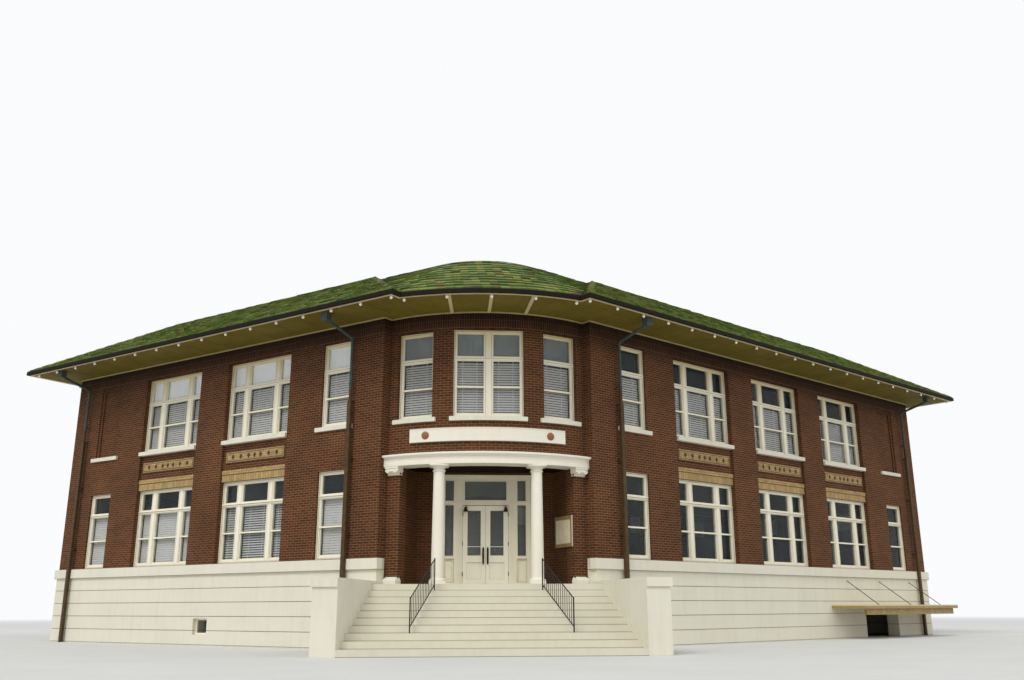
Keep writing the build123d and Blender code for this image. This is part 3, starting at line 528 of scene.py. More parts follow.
def tile_slope(shape, slope, low_end, high_end, dice, marks=even_marks):
    """Courses of flat tiles on one slope; low_end and high_end give the slope's ends at a run."""
    total = slope[1]
    course_run = (total - COURSES_REST) / TILE_COURSES
    for course in range(TILE_COURSES):
        r0 = FIRST_COURSE + course * course_run
        r1 = min(r0 + course_run + TILE_LAP, total - DECK_GAP)
        joints = marks(low_end(r0), high_end(r0), r0, 0.5 * (course % 2) + COURSE_SPREAD * dice.random())
        for u0, u1 in zip(joints, joints[1:]):
            gap = (u1 - u0) * TILE_GAP_SHARE
            foot = r0 + dice.uniform(-TILE_SLIP, TILE_SLIP)
            lift = TILE_BUTT + dice.uniform(-TILE_BUTT_SPREAD, TILE_BUTT_SPREAD)
            a, b = max(u0 + gap, low_end(r0)), min(u1 - gap, high_end(r0))
            c, d = max(u0 + gap, low_end(r1)), min(u1 - gap, high_end(r1))
            if b - a < (u1 - u0) * LEAST_TILE_SHARE:
                continue
            if d - c < gap:
                middle = min(max((a + b) / 2, low_end(r1)), max(high_end(r1), low_end(r1)))
                c, d = middle - gap, middle + gap
            corners = [(a, foot, TILE_BED), (b, foot, TILE_BED), (b, foot, lift), (a, foot, lift),
                       (c, r1, TILE_BED), (d, r1, TILE_BED)]
            shape.add([slope_point(slope, *corner) for corner in corners], TILE_FACES)


def wing_slope(side, which):
    """Place function and whole run of one slope of a wing's roof, its run measured inwards from its eave."""
    end = end_eave(side)
    return {
        "front": (lambda u, run, z: wing_point(side, u, -EAVE_WING + run, z), ROOF_RUN),
        "rear": (lambda u, run, z: wing_point(side, u, REAR_EAVE - run, z), ROOF_RUN),
        "inner": (lambda u, run, z: wing_point(side, -EAVE_WING + run, u, z), INNER_RUN),
        "outer": (lambda u, run, z: wing_point(side, end - run, u, z), ROOF_RUN),
    }[which]


def bay_slope(turn, run, z):
    """Place on the cone and its flanks; turn is the angle off the crown, and goes on as metres past it."""
    radius = BAY_EAVE - run
    past = abs(turn) - SWEEP
    if past <= 0:
        return Vector((radius * sin(turn), BAY_CENTRE_Y - radius * cos(turn), z))
    return wing_point("right" if turn > 0 else "left", CENTRE_S + past, CENTRE_D - radius, z)


def bay_reach(run):
    """The turn at which the cone or its flank meets a wing's inner slope, at equal height."""
    s = -EAVE_WING + run * INNER_RUN / BAY_RUN
    return SWEEP + s - CENTRE_S if s >= CENTRE_S else flank_angle(BAY_EAVE - run, s)


def bay_marks(start, end, run, shift):
    """Tile joints of one course round the cone and along its flanks, evenly spaced."""
    radius = BAY_EAVE - run
    crown = SWEEP * radius
    half = crown + end - SWEEP if end > SWEEP else end * radius
    found = []
    for u in even_marks(-half, half, run, shift):
        past = abs(u) - crown
        found.append(u / radius if past <= 0 else (SWEEP + past) * (1 if u > 0 else -1))
    return found


def inner_slope_end(run):
    """How far back the inner slope of a wing runs before it meets the cone or its flank."""
    s, radius = -EAVE_WING + run, BAY_EAVE - run * BAY_RUN / INNER_RUN
    return CENTRE_D - (radius if s >= CENTRE_S else sqrt(radius ** 2 - (s - CENTRE_S) ** 2))


def rear_slope_start(run):
    return fold_at(REAR_EAVE - run)


def tile_roofs():
    dice = random.Random(7)
    centre = Shape()
    tile_slope(centre, (bay_slope, BAY_RUN), lambda r: -bay_reach(r), bay_reach, dice, bay_marks)
    for side in TRIPLES:
        shape = Shape()
        end = end_eave(side)
        tile_slope(shape, wing_slope(side, "front"), lambda r: -EAVE_WING + r * INNER_RUN / ROOF_RUN,
                   lambda r: end - r, dice)
        tile_slope(shape, wing_slope(side, "rear"), rear_slope_start, lambda r: end - r, dice)
        tile_slope(shape, wing_slope(side, "outer"), lambda r: -EAVE_WING + r, lambda r: REAR_EAVE - r,
                   dice)
        tile_slope(centre, wing_slope(side, "inner"), lambda r: -EAVE_WING + r * ROOF_RUN / INNER_RUN,
                   inner_slope_end, dice)
        shape.piece(f"roof_tiles_{side}", "roof_tile", "green_tile")
    centre.piece("roof_tiles_centre", "roof_tile", "green_tile")


def cap_tiles(shape, start, end, left, right, dice):
    """Overlapping angled caps along a hip; left and right are the slopes' fall directions."""
    count = max(1, round((end - start).length / CAP_PITCH))
    step = (end - start) / count
    up = Vector((0, 0, 1))
    thick = up * CAP_THICK
    for i in range(count):
        a = start + step * i
        b = start + step * (i + CAP_LONG) if i < count - 1 else end
        rings = []
        for p, lift in zip((a, b), CAP_LIFTS):
            lift += dice.uniform(-CAP_SPREAD, CAP_SPREAD)
            wings = [p + fall * CAP_HALF + up * (lift - CAP_FALL) for fall in (left, right)]
            rings.append([p + up * lift, wings[1], wings[1] - thick, p - thick, wings[0] - thick, wings[0]])
        shape.loft(rings)


def hip_tiles():
    dice = random.Random(11)
    shape = Shape()
    rise = ROOF_TOP - EAVE_Z
    for side in TRIPLES:
        end = end_eave(side)

        def fall(ds, dd, run):
            flat = wing_point(side, ds, dd, 0) - wing_point(side, 0, 0, 0)
            return (flat + Vector((0, 0, -rise / run))).normalized()
        for s, d, run_s, run_d, across in ((-EAVE_WING, -EAVE_WING, INNER_RUN, ROOF_RUN, -1),
                                           (end, -EAVE_WING, -ROOF_RUN, ROOF_RUN, 1),
                                           (end, REAR_EAVE, -ROOF_RUN, -ROOF_RUN, 1)):
            ends = [wing_point(side, s + run_s * q, d + run_d * q, EAVE_Z + rise * q) for q in HIP_ENDS]
            falls = fall(0, -1 if run_d > 0 else 1, ROOF_RUN), fall(across, 0, abs(run_s))
            cap_tiles(shape, *ends, *falls, dice)
    shape.piece("hip_tiles", "hip_tile", "green_tile")


def deck_path():
    """Outline of the flat deck."""
    radius = BAY_EAVE - BAY_RUN
    inner, front, rear = -EAVE_WING + INNER_RUN, -EAVE_WING + ROOF_RUN, REAR_EAVE - ROOF_RUN

    def corners(side):
        end = end_eave(side) - ROOF_RUN
        return [(inner, CENTRE_D - radius), (inner, front), (end, front), (end, rear)]
    return outline(arc_path(radius, -SWEEP, SWEEP, 10), corners, rear)


def deck_edge():
    """Rough clay capping tiles where the tiled skirt meets the flat deck."""
    dice = random.Random(5)
    shape = Shape()
    path = [Vector(p) for p in deck_path()]
    for a, b in zip(path, path[1:] + path[:1]):
        count = max(1, round((b - a).length / EDGING_PITCH))
        for k in range(count):
            z = ROOF_TOP - 0.001 - dice.uniform(0, EDGING_SPREAD)
            ends = [tuple(a.lerp(b, k / count)), tuple(a.lerp(b, (k + EDGING_LONG) / count))]
            plan_sweep(shape, ends, [(-0.10, z - 0.04), (0.075, z - 0.080), (0.06, z - 0.018), (0.02, z),
                                     (-0.10, z)])
    shape.piece("deck_edging", "hip_tile", "green_tile")


# Eaves
STRIP_IN = 0.080
SOFFIT_JOINT = 0.98
FIRST_JOINT = 0.15
END_JOINT = 0.3
FOLD_GAP = 0.3
BAY_JOINT = 0.145
JOINT_HALF = 0.008
JOINT_START = 0.06
JOINT_STOP = GUTTER_WIDE + 0.05
BATTENS = (-1.05, 0.0, 1.05)
BATTEN_SECTION = ((-0.045, SOFFIT - 0.030), (0.045, SOFFIT - 0.030), (0.045, SOFFIT + 0.004),
                  (-0.045, SOFFIT + 0.004))
LAMP_PITCH = 1.04
LAMP_IN = GUTTER_WIDE + 0.018
LAST_LAMP_GAP = 0.3
END_LAMPS = 9
FIRST_END_LAMP = 0.4
FIRST_REAR_LAMP = 0.6
BAY_LAMP_SHARE = 0.47
GLOBE = 0.042
GLOBE_DROP = 0.066
HOLDER = [(0, 0.002), (0.030, 0.002), (0.030, -0.020), (0.020, -0.034), (0, -0.034)]


def eave_trim():
    """Gutter roll, the strip that carries the lamps and the moulding where the boards meet the wall."""
    low, high = SOFFIT, SOFFIT + GUTTER_HIGH
    for name, finish, slot, path, profile in (
            ("gutter_roll", "gutter_dark", "brown_metal", eave_path(),
             [(-0.002, high - 0.026), (-0.002, high - 0.006), (-0.020, high + 0.004), (-0.040, high - 0.006),
              (-0.030, high - 0.026)]),
            ("eave_strip", "eave_cream", "cream_paint", eave_path(STRIP_IN),
             [(0.0, low - 0.024), (0.0, low + 0.004), (-0.075, low + 0.004), (-0.075, low - 0.010),
              (-0.020, low - 0.024)]),
            ("eave_moulding", "eave_olive", "olive_boards", wall_path(),
             [(-0.004, low - 0.034), (0.014, low - 0.034), (0.022, low - 0.016), (0.034, low + 0.004),
              (-0.004, low + 0.004)])):
        shape = Shape()
        plan_sweep(shape, path, profile, closed=True)
        shape.piece(name, finish, slot)


def soffit_joints():
    """Thin cover strips over the joints of the boards, square to the walls, and three battens on the bay."""
    shape = Shape()

    def joint(place, eave):
        shape.box(place, -JOINT_HALF, JOINT_HALF, JOINT_START, eave - JOINT_STOP, SOFFIT - 0.004,
                  SOFFIT + 0.002)
    for side in TRIPLES:
        length = wing_length(side)
        for k in range(int(length / SOFFIT_JOINT) + 1):
            s = FIRST_JOINT + k * SOFFIT_JOINT
            if s < length:
                joint(on_front(side, s), EAVE_WING)
                if s > fold_at(WING_DEPTH) + FOLD_GAP:
                    joint(on_rear(side, s), EAVE_WING)
        for k in range(int(WING_DEPTH / SOFFIT_JOINT)):
            joint(on_end(side, END_JOINT + k * SOFFIT_JOINT), EAVE_END)
    for k in range(-4, 5):
        joint(on_bay(k * BAY_JOINT), EAVE_BAY)
    shape.piece("soffit_joints", "joint_dark", "olive_boards")
    battens = Shape()
    for x in BATTENS:
        rings = []
        for radius, share in ((BAY_RADIUS + 0.02, 0.95), (BAY_EAVE - GUTTER_WIDE - 0.02, 1.04)):
            y = BAY_CENTRE_Y - sqrt(radius ** 2 - x ** 2)
            rings.append([(x * share + u, y, z) for u, z in BATTEN_SECTION])
        battens.loft(rings)
    battens.piece("bay_battens", "eave_cream", "cream_paint")


def eave_lamps():
    """Round lamps in small holders, just inside the gutter."""
    globes, holders = Shape(), Shape()
    arc = [(GLOBE * sin(a * pi / 8), GLOBE * cos(a * pi / 8)) for a in range(1, 8)]

    def lamp(p):
        holders.lathe((p.x, p.y, SOFFIT), HOLDER, 12)
        globes.lathe((p.x, p.y, SOFFIT - GLOBE_DROP), [(0, GLOBE), *arc, (0, -GLOBE)], 14)
    line = EAVE_WING - LAMP_IN
    for side in TRIPLES:
        length = wing_length(side)
        for k in range(int((length + line + EAVE_END - LAST_LAMP_GAP) / LAMP_PITCH) + 1):
            lamp(on_front(side)(-line + k * LAMP_PITCH, line, 0))
        for k in range(END_LAMPS):
            lamp(on_end(side)(FIRST_END_LAMP + k * LAMP_PITCH, EAVE_END - LAMP_IN, 0))
        start = rear_slope_start(EAVE_WING - line) + FIRST_REAR_LAMP
        for k in range(int((length - start) / LAMP_PITCH) + 1):
            lamp(on_rear(side)(start + k * LAMP_PITCH, line, 0))
    out = EAVE_BAY - LAMP_IN
    turn = flank_angle(BAY_RADIUS + out, -line)
    for k in range(-2, 3):
        lamp(on_bay(k * turn * BAY_LAMP_SHARE)(0, out, 0))
    globes.piece("lamp_globes", "lamp_white", "white_paint", smooth=True)
    holders.piece("lamp_holders", "eave_cream", "cream_paint")


# Front brickwork, entablature and sign
PANEL_FACE = -PANEL_RECESS + 0.025
PANEL_FRAMES = ((1.240, 5.210, 5.560, 0.018, 0.006), (1.185, 5.262, 5.508, 0.014, 0.005))
DIAMONDS = (-0.920, -0.585, -0.250, 0.0, 0.250, 0.585, 0.920)
DIAMOND_Z = 5.385
DIAMOND = ((0.072, 0), (0, 0.084), (-0.072, 0), (0, -0.084))
ENTABLATURE_FACE = BAY_RADIUS + 0.150
SIGN_FACE = BAY_RADIUS + 0.060
SIGN_HALF = 2.060
SIGN_EDGES = ((5.234, 5.256), (5.564, 5.586))
BOSS_X = 1.66
BOSS_Z = 5.405
BOSS = ((0.104, -0.002), (0.104, 0.012), (0.084, 0.022), (0.048, 0.030), (0.008, 0.033))


def spandrel_trim():
    """Thin frame and seven dark diamonds on each tan panel."""
    frames, diamonds = Shape(), Shape()
    for side in TRIPLES:
        for s in triple_places(side):
            place = on_front(side, s)
            for half, low, high, wide, proud in PANEL_FRAMES:
                ring_of_bars(frames, place, -half, half, low, high, wide, PANEL_FACE, PANEL_FACE + proud)
            for u in DIAMONDS:
                diamonds.loft([[place(u + a * size, PANEL_FACE + n, DIAMOND_Z + b * size) for a, b in DIAMOND]
                               for size, n in ((1, 0), (0.8, 0.012))])
    frames.piece("panel_frames", "umber_brick", "tan_brick")
    diamonds.piece("panel_diamonds", "umber_brick", "tan_brick")


def entablature_trim():
    """Bed moulding below the projecting top, and a narrow fascia at the foot of the beam."""
    shape = Shape()
    low, high = ENTABLATURE_LOW, ENTABLATURE_HIGH - 0.050
    turn = flank_angle(ENTABLATURE_FACE + 0.07) - 0.002
    path = arc_path(ENTABLATURE_FACE, -turn, turn, 32)
    plan_sweep(shape, path, [(-0.004, high - 0.055), (0.012, high - 0.055), (0.020, high - 0.035),
                             (0.048, high - 0.010), (0.052, high + 0.002), (-0.004, high + 0.002)])
    plan_sweep(shape, path, [(-0.004, low + 0.004), (0.010, low + 0.004), (0.010, low + 0.085),
                             (-0.004, low + 0.095)])
    shape.piece("entablature_mouldings", "white_paint")


def sign_trim():
    """Raised edge of the sign band and its two round bosses."""
    edge, discs = Shape(), Shape()
    turn = atan2(SIGN_HALF, sqrt(SIGN_FACE ** 2 - SIGN_HALF ** 2))
    for z0, z1 in SIGN_EDGES:
        plan_sweep(edge, arc_path(SIGN_FACE, -turn, turn, 28), [(-0.003, z0), (0.010, z0), (0.010, z1),
                                                                (-0.003, z1)])
    edge.piece("sign_edge", "white_paint")
    for sign in (-1, 1):
        place = on_bay(sign * atan2(BOSS_X, sqrt(SIGN_FACE ** 2 - BOSS_X ** 2)), SIGN_FACE)
        discs.loft([[place(u, n, BOSS_Z + z) for u, z in circle(radius, 28)] for radius, n in BOSS])
    discs.piece("sign_bosses", "copper", "dark_bronze")


# Porch; caps and plinths are (distance from the end, overhang, front face), scrolls are (radius, face)
PIER_ANGLE = radians(34.1)
PIER_HALF = 0.165
PIER_CAP = ((0.000, 0.055, 0.150), (0.042, 0.055, 0.150), (0.048, 0.038, 0.134), (0.066, 0.034, 0.128),
            (0.090, 0.044, 0.140), (0.120, 0.044, 0.140), (0.145, 0.026, 0.118), (0.160, 0.006, 0.090),
            (0.188, 0.006, 0.056), (0.194, 0.020, 0.050), (0.212, 0.020, 0.046), (0.222, 0.002, 0.020))
PIER_PLINTH = ((0.000, 0.058, 0.130), (0.105, 0.058, 0.130), (0.118, 0.046, 0.112), (0.150, 0.034, 0.090),
               (0.172, 0.012, 0.050), (0.195, 0.004, 0.020))
SCROLL = ((0.052, 0.06), (0.052, 0.152), (0.034, 0.152), (0.034, 0.146), (0.016, 0.146), (0.016, 0.156),
          (0.004, 0.158))
SCROLL_OFF = 0.118
COLUMN_X = 1.275
COLUMN_Y = BAY_CENTRE_Y - sqrt((BAY_RADIUS - 0.060) ** 2 - COLUMN_X ** 2)
ABACUS_HALF = 0.206


def pier_trim():
    """Scrolled caps and white plinths of the porch's brick piers, and wider plates over its columns."""
    caps, plinths, plates = Shape(), Shape(), Shape()
    top = ENTABLATURE_LOW - 0.002
    for sign in (-1, 1):
        place = on_bay(sign * PIER_ANGLE)
        for shape, start, way, levels in ((caps, top, -1, PIER_CAP),
                                          (plinths, LANDING + 0.001, 1, PIER_PLINTH)):
            rings = []
            for off, side, front in levels:
                half = PIER_HALF + side
                rings.append([place(u, n, start + way * off)
                              for u, n in ((-half, -0.10), (half, -0.10), (half, front), (-half, front))])
            shape.loft(rings)
        for u in (-SCROLL_OFF, SCROLL_OFF):
            caps.loft([[place(u + a, n, ENTABLATURE_LOW - SCROLL_OFF + b) for a, b in circle(radius, 16)]
                       for radius, n in SCROLL])
        square = [(sign * COLUMN_X + a * ABACUS_HALF, COLUMN_Y + b * ABACUS_HALF)
                  for a, b in ((-1, -1), (1, -1), (1, 1), (-1, 1))]
        plan_sweep(plates, square, [(-0.01, top - 0.052), (0.020, top - 0.052), (0.046, top - 0.036),
                                    (0.046, top), (-0.01, top)], closed=True)
    caps.piece("pier_caps", "white_paint")
    plinths.piece("pier_plinths", "white_masonry")
    plates.piece("column_plates", "white_paint")


# Entrance
UNIT_FACE_Y = 1.030
UNIT_HALF = 1.250
UNIT_TOP = 4.557
DOOR_GAP = 0.006
DOOR_WIDE = 0.615
DOOR_STILE = 0.112
DOOR_GLASS = (2.370, 3.600)
DOOR_PANEL = (1.770, 2.190)
TRANSOM_LIGHT = (3.850, 4.405)
SIDE_ROWS = ((1.710, 2.270), (2.380, 3.735), TRANSOM_LIGHT)
HINGE_LEVELS = (1.905, 2.695, 3.485)
HINGE_THIRD = 0.037
SLEEVE = [(0, -0.018), (0.0098, -0.018), (0.0098, 0.018), (0, 0.018)]
PULL_PLATE = ((0.062, 2.135), (0.087, 2.185), (0.087, 2.575), (0.062, 2.625), (0.037, 2.575), (0.037, 2.185))
BELL_CURL = ((0.547, 3.680), (0.546, 3.708), (0.532, 3.722), (0.512, 3.722), (0.497, 3.708), (0.503, 3.692),
             (0.514, 3.690))
PLAQUE_X = 2.303
PLAQUE_RUN = (-0.403, 1.000)
PLAQUE_HALF = 0.450
PLAQUE_LEVELS = (2.580, 3.390)


def on_unit(sign=1):
    """Places on the face of the doors and their fixed unit; u runs left for a sign of -1."""
    return lambda u, n, z: Vector((sign * u, UNIT_FACE_Y - n, z))


def hinge_sleeve(shape, place, z):
    """Dark sleeve over one knuckle of a hinge."""
    shape.lathe(tuple(place(DOOR_WIDE + DOOR_GAP, 0.010, z)), SLEEVE, 14)


def door_trim(side):
    """Beads, painted shadow lines, hinge sleeves and pull plate of a leaf, and the bar across its glass."""
    place = on_unit(sign_of(side))
    body = f"leaf_{side}"
    x0 = DOOR_GAP / 2 + DOOR_STILE
    x1 = DOOR_GAP / 2 + DOOR_WIDE - DOOR_STILE
    low, high = DOOR_PANEL
    shape, seams, iron, curl = Shape(), Shape(), Shape(), Shape()
    ring_of_bars(shape, place, x0, x1, *DOOR_GLASS, 0.016, -0.017, 0.004)
    ring_of_bars(shape, place, x0, x1, low, high, 0.018, -0.012, 0.004)
    shape.box(place, x0 + 0.05, x1 - 0.05, -0.012, -0.003, low + 0.05, high - 0.05)
    shape.box(place, x0, x1, -0.006, 0.006, 2.612, 2.628)
    shape.piece(f"door_trim_{side}", "cream_paint", body=body)
    # Painted shadow round the sunk panel and under the rail above it
    ring_of_bars(seams, place, x0 - 0.003, x1 + 0.003, low - 0.003, high + 0.003, 0.003, 0, 0.001)
    seams.box(place, x0 - 0.003, x1 + 0.003, 0, 0.0015, high + 0.003, high + 0.012)
    seams.piece(f"door_shadow_lines_{side}", "seam_grime", "cream_paint", body=body)
    for z in HINGE_LEVELS:
        hinge_sleeve(iron, place, z)
    iron.loft([[place(u, n, z) for u, z in PULL_PLATE] for n in (0.0, 0.006)])
    iron.piece(f"door_iron_{side}", "dark_bronze", body=body)
    curl.tube([place(u, 0.080, z) for u, z in BELL_CURL], 0.007, 8)
    curl.piece(f"bell_curl_{side}", "dark_bronze", body=body)


def entrance_trim():
    """Mouldings of the fixed unit: casing, transom bar, sidelight beads and panels, and its painted shadow
    lines.
    """
    shape, seams, sleeves = Shape(), Shape(), Shape()
    place = on_unit()
    shape.box(place, -UNIT_HALF, UNIT_HALF, 0, 0.030, UNIT_TOP - 0.075, UNIT_TOP)
    shape.box(place, -UNIT_HALF, UNIT_HALF, 0, 0.045, UNIT_TOP - 0.028, UNIT_TOP)
    shape.box(place, -UNIT_HALF + 0.02, UNIT_HALF - 0.02, 0, 0.022, 3.762, 3.822)
    opening = DOOR_WIDE + 1.5 * DOOR_GAP
    for sign in (-1, 1):
        left, right = sorted((sign * (opening + 0.250), sign * (opening + 0.480)))
        for z0, z1 in SIDE_ROWS:
            ring_of_bars(shape, place, left - 0.014, right + 0.014, z0 - 0.014, z1 + 0.014, 0.014, 0, 0.012)
        shape.box(place, left - 0.02, right + 0.02, 0, 0.030, 2.300, 2.345)
        shape.box(place, left + 0.045, right - 0.045, -0.025, -0.012, 1.760, 2.220)
        # Painted shadow under the sidelight's sill and round its panel
        seams.box(place, left - 0.014, right + 0.014, 0, 0.014, 2.284, 2.300)
        ring_of_bars(seams, place, left - 0.020, right + 0.020, 1.690, 2.284, 0.006, 0, SHADOW_LINE_PROUD)
        a, b = sorted((sign * (opening + 0.06), sign * (opening + 0.10)))
        shape.box(place, a, b, 0, 0.010, 1.62, 4.45)
        for z in HINGE_LEVELS:
            for step in (-HINGE_THIRD, HINGE_THIRD):
                hinge_sleeve(sleeves, on_unit(sign), z + step)
    ring_of_bars(shape, place, -opening + 0.030, opening - 0.030, *TRANSOM_LIGHT, 0.022, -0.060, 0.010)
    # Painted shadow over the doors
    seams.box(place, -opening, opening, 0, SHADOW_LINE_PROUD, 3.719, 3.732)
    shape.piece("entrance_trim", "entrance_cream", "cream_paint")
    seams.piece("entrance_seams", "seam_dark", "cream_paint")
    sleeves.piece("hinge_sleeves", "dark_bronze")


def plaque_trim():
    """Moulded frame round the bare field of the plaque."""
    run_x, run_y = PLAQUE_RUN
    angle = atan2(run_y, run_x)
    middle = sqrt(run_x ** 2 + run_y ** 2) / 2

    def place(u, n, z):
        along = middle + u
        x = PLAQUE_X + along * cos(angle) - n * sin(angle)
        return Vector((x, along * sin(angle) + n * cos(angle), z))
    shape = Shape()
    low, high = PLAQUE_LEVELS
    for z0, z1 in ((low, low + 0.085), (high - 0.095, high)):
        shape.box(place, -PLAQUE_HALF, PLAQUE_HALF, 0.040, 0.058, z0, z1)
    for u0, u1 in ((-PLAQUE_HALF, -PLAQUE_HALF + 0.045), (PLAQUE_HALF - 0.045, PLAQUE_HALF)):
        shape.box(place, u0, u1, 0.040, 0.056, low + 0.085, high - 0.095)
    shape.piece("plaque_frame", "gilt_tile", "cream_plaque")


# Materials, by name
FINISH = {}


def tone_of(tone):
    """Colour input for a tone.

    A tone is a grey share, an sRGB colour in 0 to 255, a linear colour with its alpha, or a socket.
    """
    if isinstance(tone, bpy.types.NodeSocket):
        return tone
    if isinstance(tone, float):
        return (tone, tone, tone, 1)
    if len(tone) == 4:
        return tone
    shares = [part / 255 for part in tone]
    return (*(q / 12.92 if q <= 0.04045 else ((q + 0.055) / 1.055) ** 2.4 for q in shares), 1)


class Nodes:
    """A node tree that grows by a node a call."""

    def __init__(self, tree):
        self.tree = tree

    def link(self, output, socket):
        self.tree.links.new(output, socket)

    def add(self, kind, inputs, **settings):
        made = self.tree.nodes.new(kind)
        for key, value in settings.items():
            setattr(made, key, value)
        for key, value in inputs.items():
            if isinstance(value, bpy.types.NodeSocket):
                self.link(value, made.inputs[key])
            else:
                made.inputs[key].default_value = value
        return made

    def maths(self, operation, *values):
        return self.add("ShaderNodeMath", dict(enumerate(values)), operation=operation).outputs[0]

    def mix(self, factor, a, b, mode="MIX"):
        return self.add("ShaderNodeMix", {0: factor, 6: tone_of(a), 7: tone_of(b)}, data_type="RGBA",
                        blend_type=mode).outputs[2]

    def ramp(self, factor, *stops):
        """Colour ramp through (place, tone) stops."""
        made = self.add("ShaderNodeValToRGB", {"Fac": factor})
        band = made.color_ramp
        while len(band.elements) < len(stops):
            band.elements.new(0.5)
        for element, (place, tone) in zip(band.elements, stops):
            element.position = place
            element.color = tone_of(tone)
        return made.outputs["Color"]

    def span(self, value, low, high, first=0.0, last=1.0):
        """A value's share of the way from low to high, given as a number from first to last."""
        return self.add("ShaderNodeMapRange", {"Value": value, "From Min": low, "From Max": high,
                                               "To Min": first, "To Max": last}).outputs[0]


class Finish(Nodes):
    """A material of the list of finishes, in the making."""

    def __init__(self, name, roughness, **values):
        self.material = FINISH[name] = bpy.data.materials.new(name)
        self.material.use_nodes = True
        super().__init__(self.material.node_tree)
        self.shader = self.tree.nodes["Principled BSDF"]
        self.shader.inputs["Roughness"].default_value = roughness
        for key, value in values.items():
            self.shader.inputs[key.replace("_", " ")].default_value = value
        self.place = self.add("ShaderNodeTexCoord", {}).outputs["Object"]

    def parts(self, vector):
        return self.add("ShaderNodeSeparateXYZ", {0: vector}).outputs

    def height(self):
        return self.parts(self.place)["Z"]

    def facing(self):
        return self.add("ShaderNodeNewGeometry", {}).outputs["True Normal"]

    def noise(self, scale, detail, roughness=0.55, vector=None):
        inputs = {"Vector": self.place if vector is None else vector, "Scale": scale, "Detail": detail,
                  "Roughness": roughness}
        return self.add("ShaderNodeTexNoise", inputs).outputs["Fac"]

    def bricks(self, across, up, tones, sizes, smooth, bias, offset):
        """Colour and joints of bricks; sizes are those of the joint, the brick's length and the course."""
        vector = self.add("ShaderNodeCombineXYZ", {0: across, 1: up, 2: 0.0}).outputs[0]
        inputs = {"Vector": vector, "Scale": 1.0, "Mortar Smooth": smooth, "Bias": bias}
        inputs.update(zip(("Color1", "Color2", "Mortar"), map(tone_of, tones)))
        inputs.update(zip(("Mortar Size", "Brick Width", "Row Height"), sizes))
        made = self.add("ShaderNodeTexBrick", inputs, offset=offset)
        return made.outputs["Color"], made.outputs["Fac"]

    def times(self, colour, tone, share=1.0):
        return self.mix(share, colour, tone, "MULTIPLY")

    def done(self, colour, relief=None, deep=0.0):
        """Gives the surface its colour, and a bump of a relief."""
        self.link(colour, self.shader.inputs["Base Color"])
        if relief is not None:
            made = self.add("ShaderNodeBump", {"Height": relief, "Distance": deep, "Strength": 1.0})
            self.link(made.outputs["Normal"], self.shader.inputs["Normal"])


FRIEZE_LOW = SOFFIT - 0.43
OPEN_BRICK = ((76, 44, 26), (98, 57, 32), (142, 116, 84))
# Painted shade: a darker copy of the brick for the porch's side and back walls
PORCH_SHADED_BRICK = ((65, 38, 20), (83, 49, 25), (104, 80, 52))
BRICK_SIZES = (0.005, 0.213, 0.0677)
TAN_BRICK = ((184, 156, 104), (160, 132, 86), (120, 98, 64))
LINTEL_SIZES = (0.006, 0.215, 0.104)
LINTEL_HIGH = 0.214
TAN_SIZES = (0.005, 0.213, 0.0625)
CANOPY_EDGE = (1.045, 1.083)
HIGH_LIGHTS = 7.50


def flat_wall(make):
    """Distance along the wall and height, for flat walls that face any way."""
    def vector_maths(operation, inputs, output=0):
        return make.add("ShaderNodeVectorMath", inputs, operation=operation).outputs[output]
    along = vector_maths("CROSS_PRODUCT", {0: (0, 0, 1), 1: make.facing()})
    along = vector_maths("NORMALIZE", {0: along})
    return vector_maths("DOT_PRODUCT", {0: make.place, 1: along}, "Value"), make.height()


def bay_wall(make):
    """Arc length round the bay and height."""
    x, y, z = make.parts(make.place)
    y = make.maths("SUBTRACT", BAY_CENTRE_Y, y)
    squares = make.maths("ADD", make.maths("MULTIPLY", x, x), make.maths("MULTIPLY", y, y))
    return make.maths("MULTIPLY_ADD", make.maths("ARCTAN2", x, y), BAY_RADIUS, make.maths("SQRT", squares)), z


def brick_wall(name, coords, tones=OPEN_BRICK):
    """Dark red-brown brick in running bond with a soldier frieze, darkened towards the eaves as painted
    shade.
    """
    make = Finish(name, 0.88, Specular_IOR_Level=0.2)
    u, v = coords(make)
    running, running_joints = make.bricks(u, v, tones, BRICK_SIZES, 0.15, -0.1, 0.5)
    level = make.maths("SUBTRACT", v, FRIEZE_LOW)
    soldier, soldier_joints = make.bricks(level, u, tones, BRICK_SIZES, 0.15, -0.1, 0.0)
    frieze = make.maths("GREATER_THAN", v, FRIEZE_LOW)
    colour = make.mix(frieze, running, soldier)
    joints = make.maths("ADD", make.maths("MULTIPLY", soldier_joints, frieze),
                        make.maths("MULTIPLY", running_joints, make.maths("SUBTRACT", 1.0, frieze)))
    colour = make.times(colour, make.ramp(make.noise(0.7, 3), (0.3, 0.80), (0.7, (1.12, 1.08, 1.04, 1))))
    colour = make.times(colour, make.ramp(make.noise(26, 3), (0.25, 0.78), (0.75, 1.15)), 0.8)
    # Painted shade of the eaves: the colour falls to 0.22 of itself from 0.40 below the frieze up to just
    # under the soffit
    colour = make.times(colour, make.span(v, FRIEZE_LOW - 0.40, SOFFIT - 0.12, 1.0, 0.22))
    make.done(colour, make.maths("SUBTRACT", make.maths("MULTIPLY", make.noise(90, 2), 0.25), joints), 0.0025)


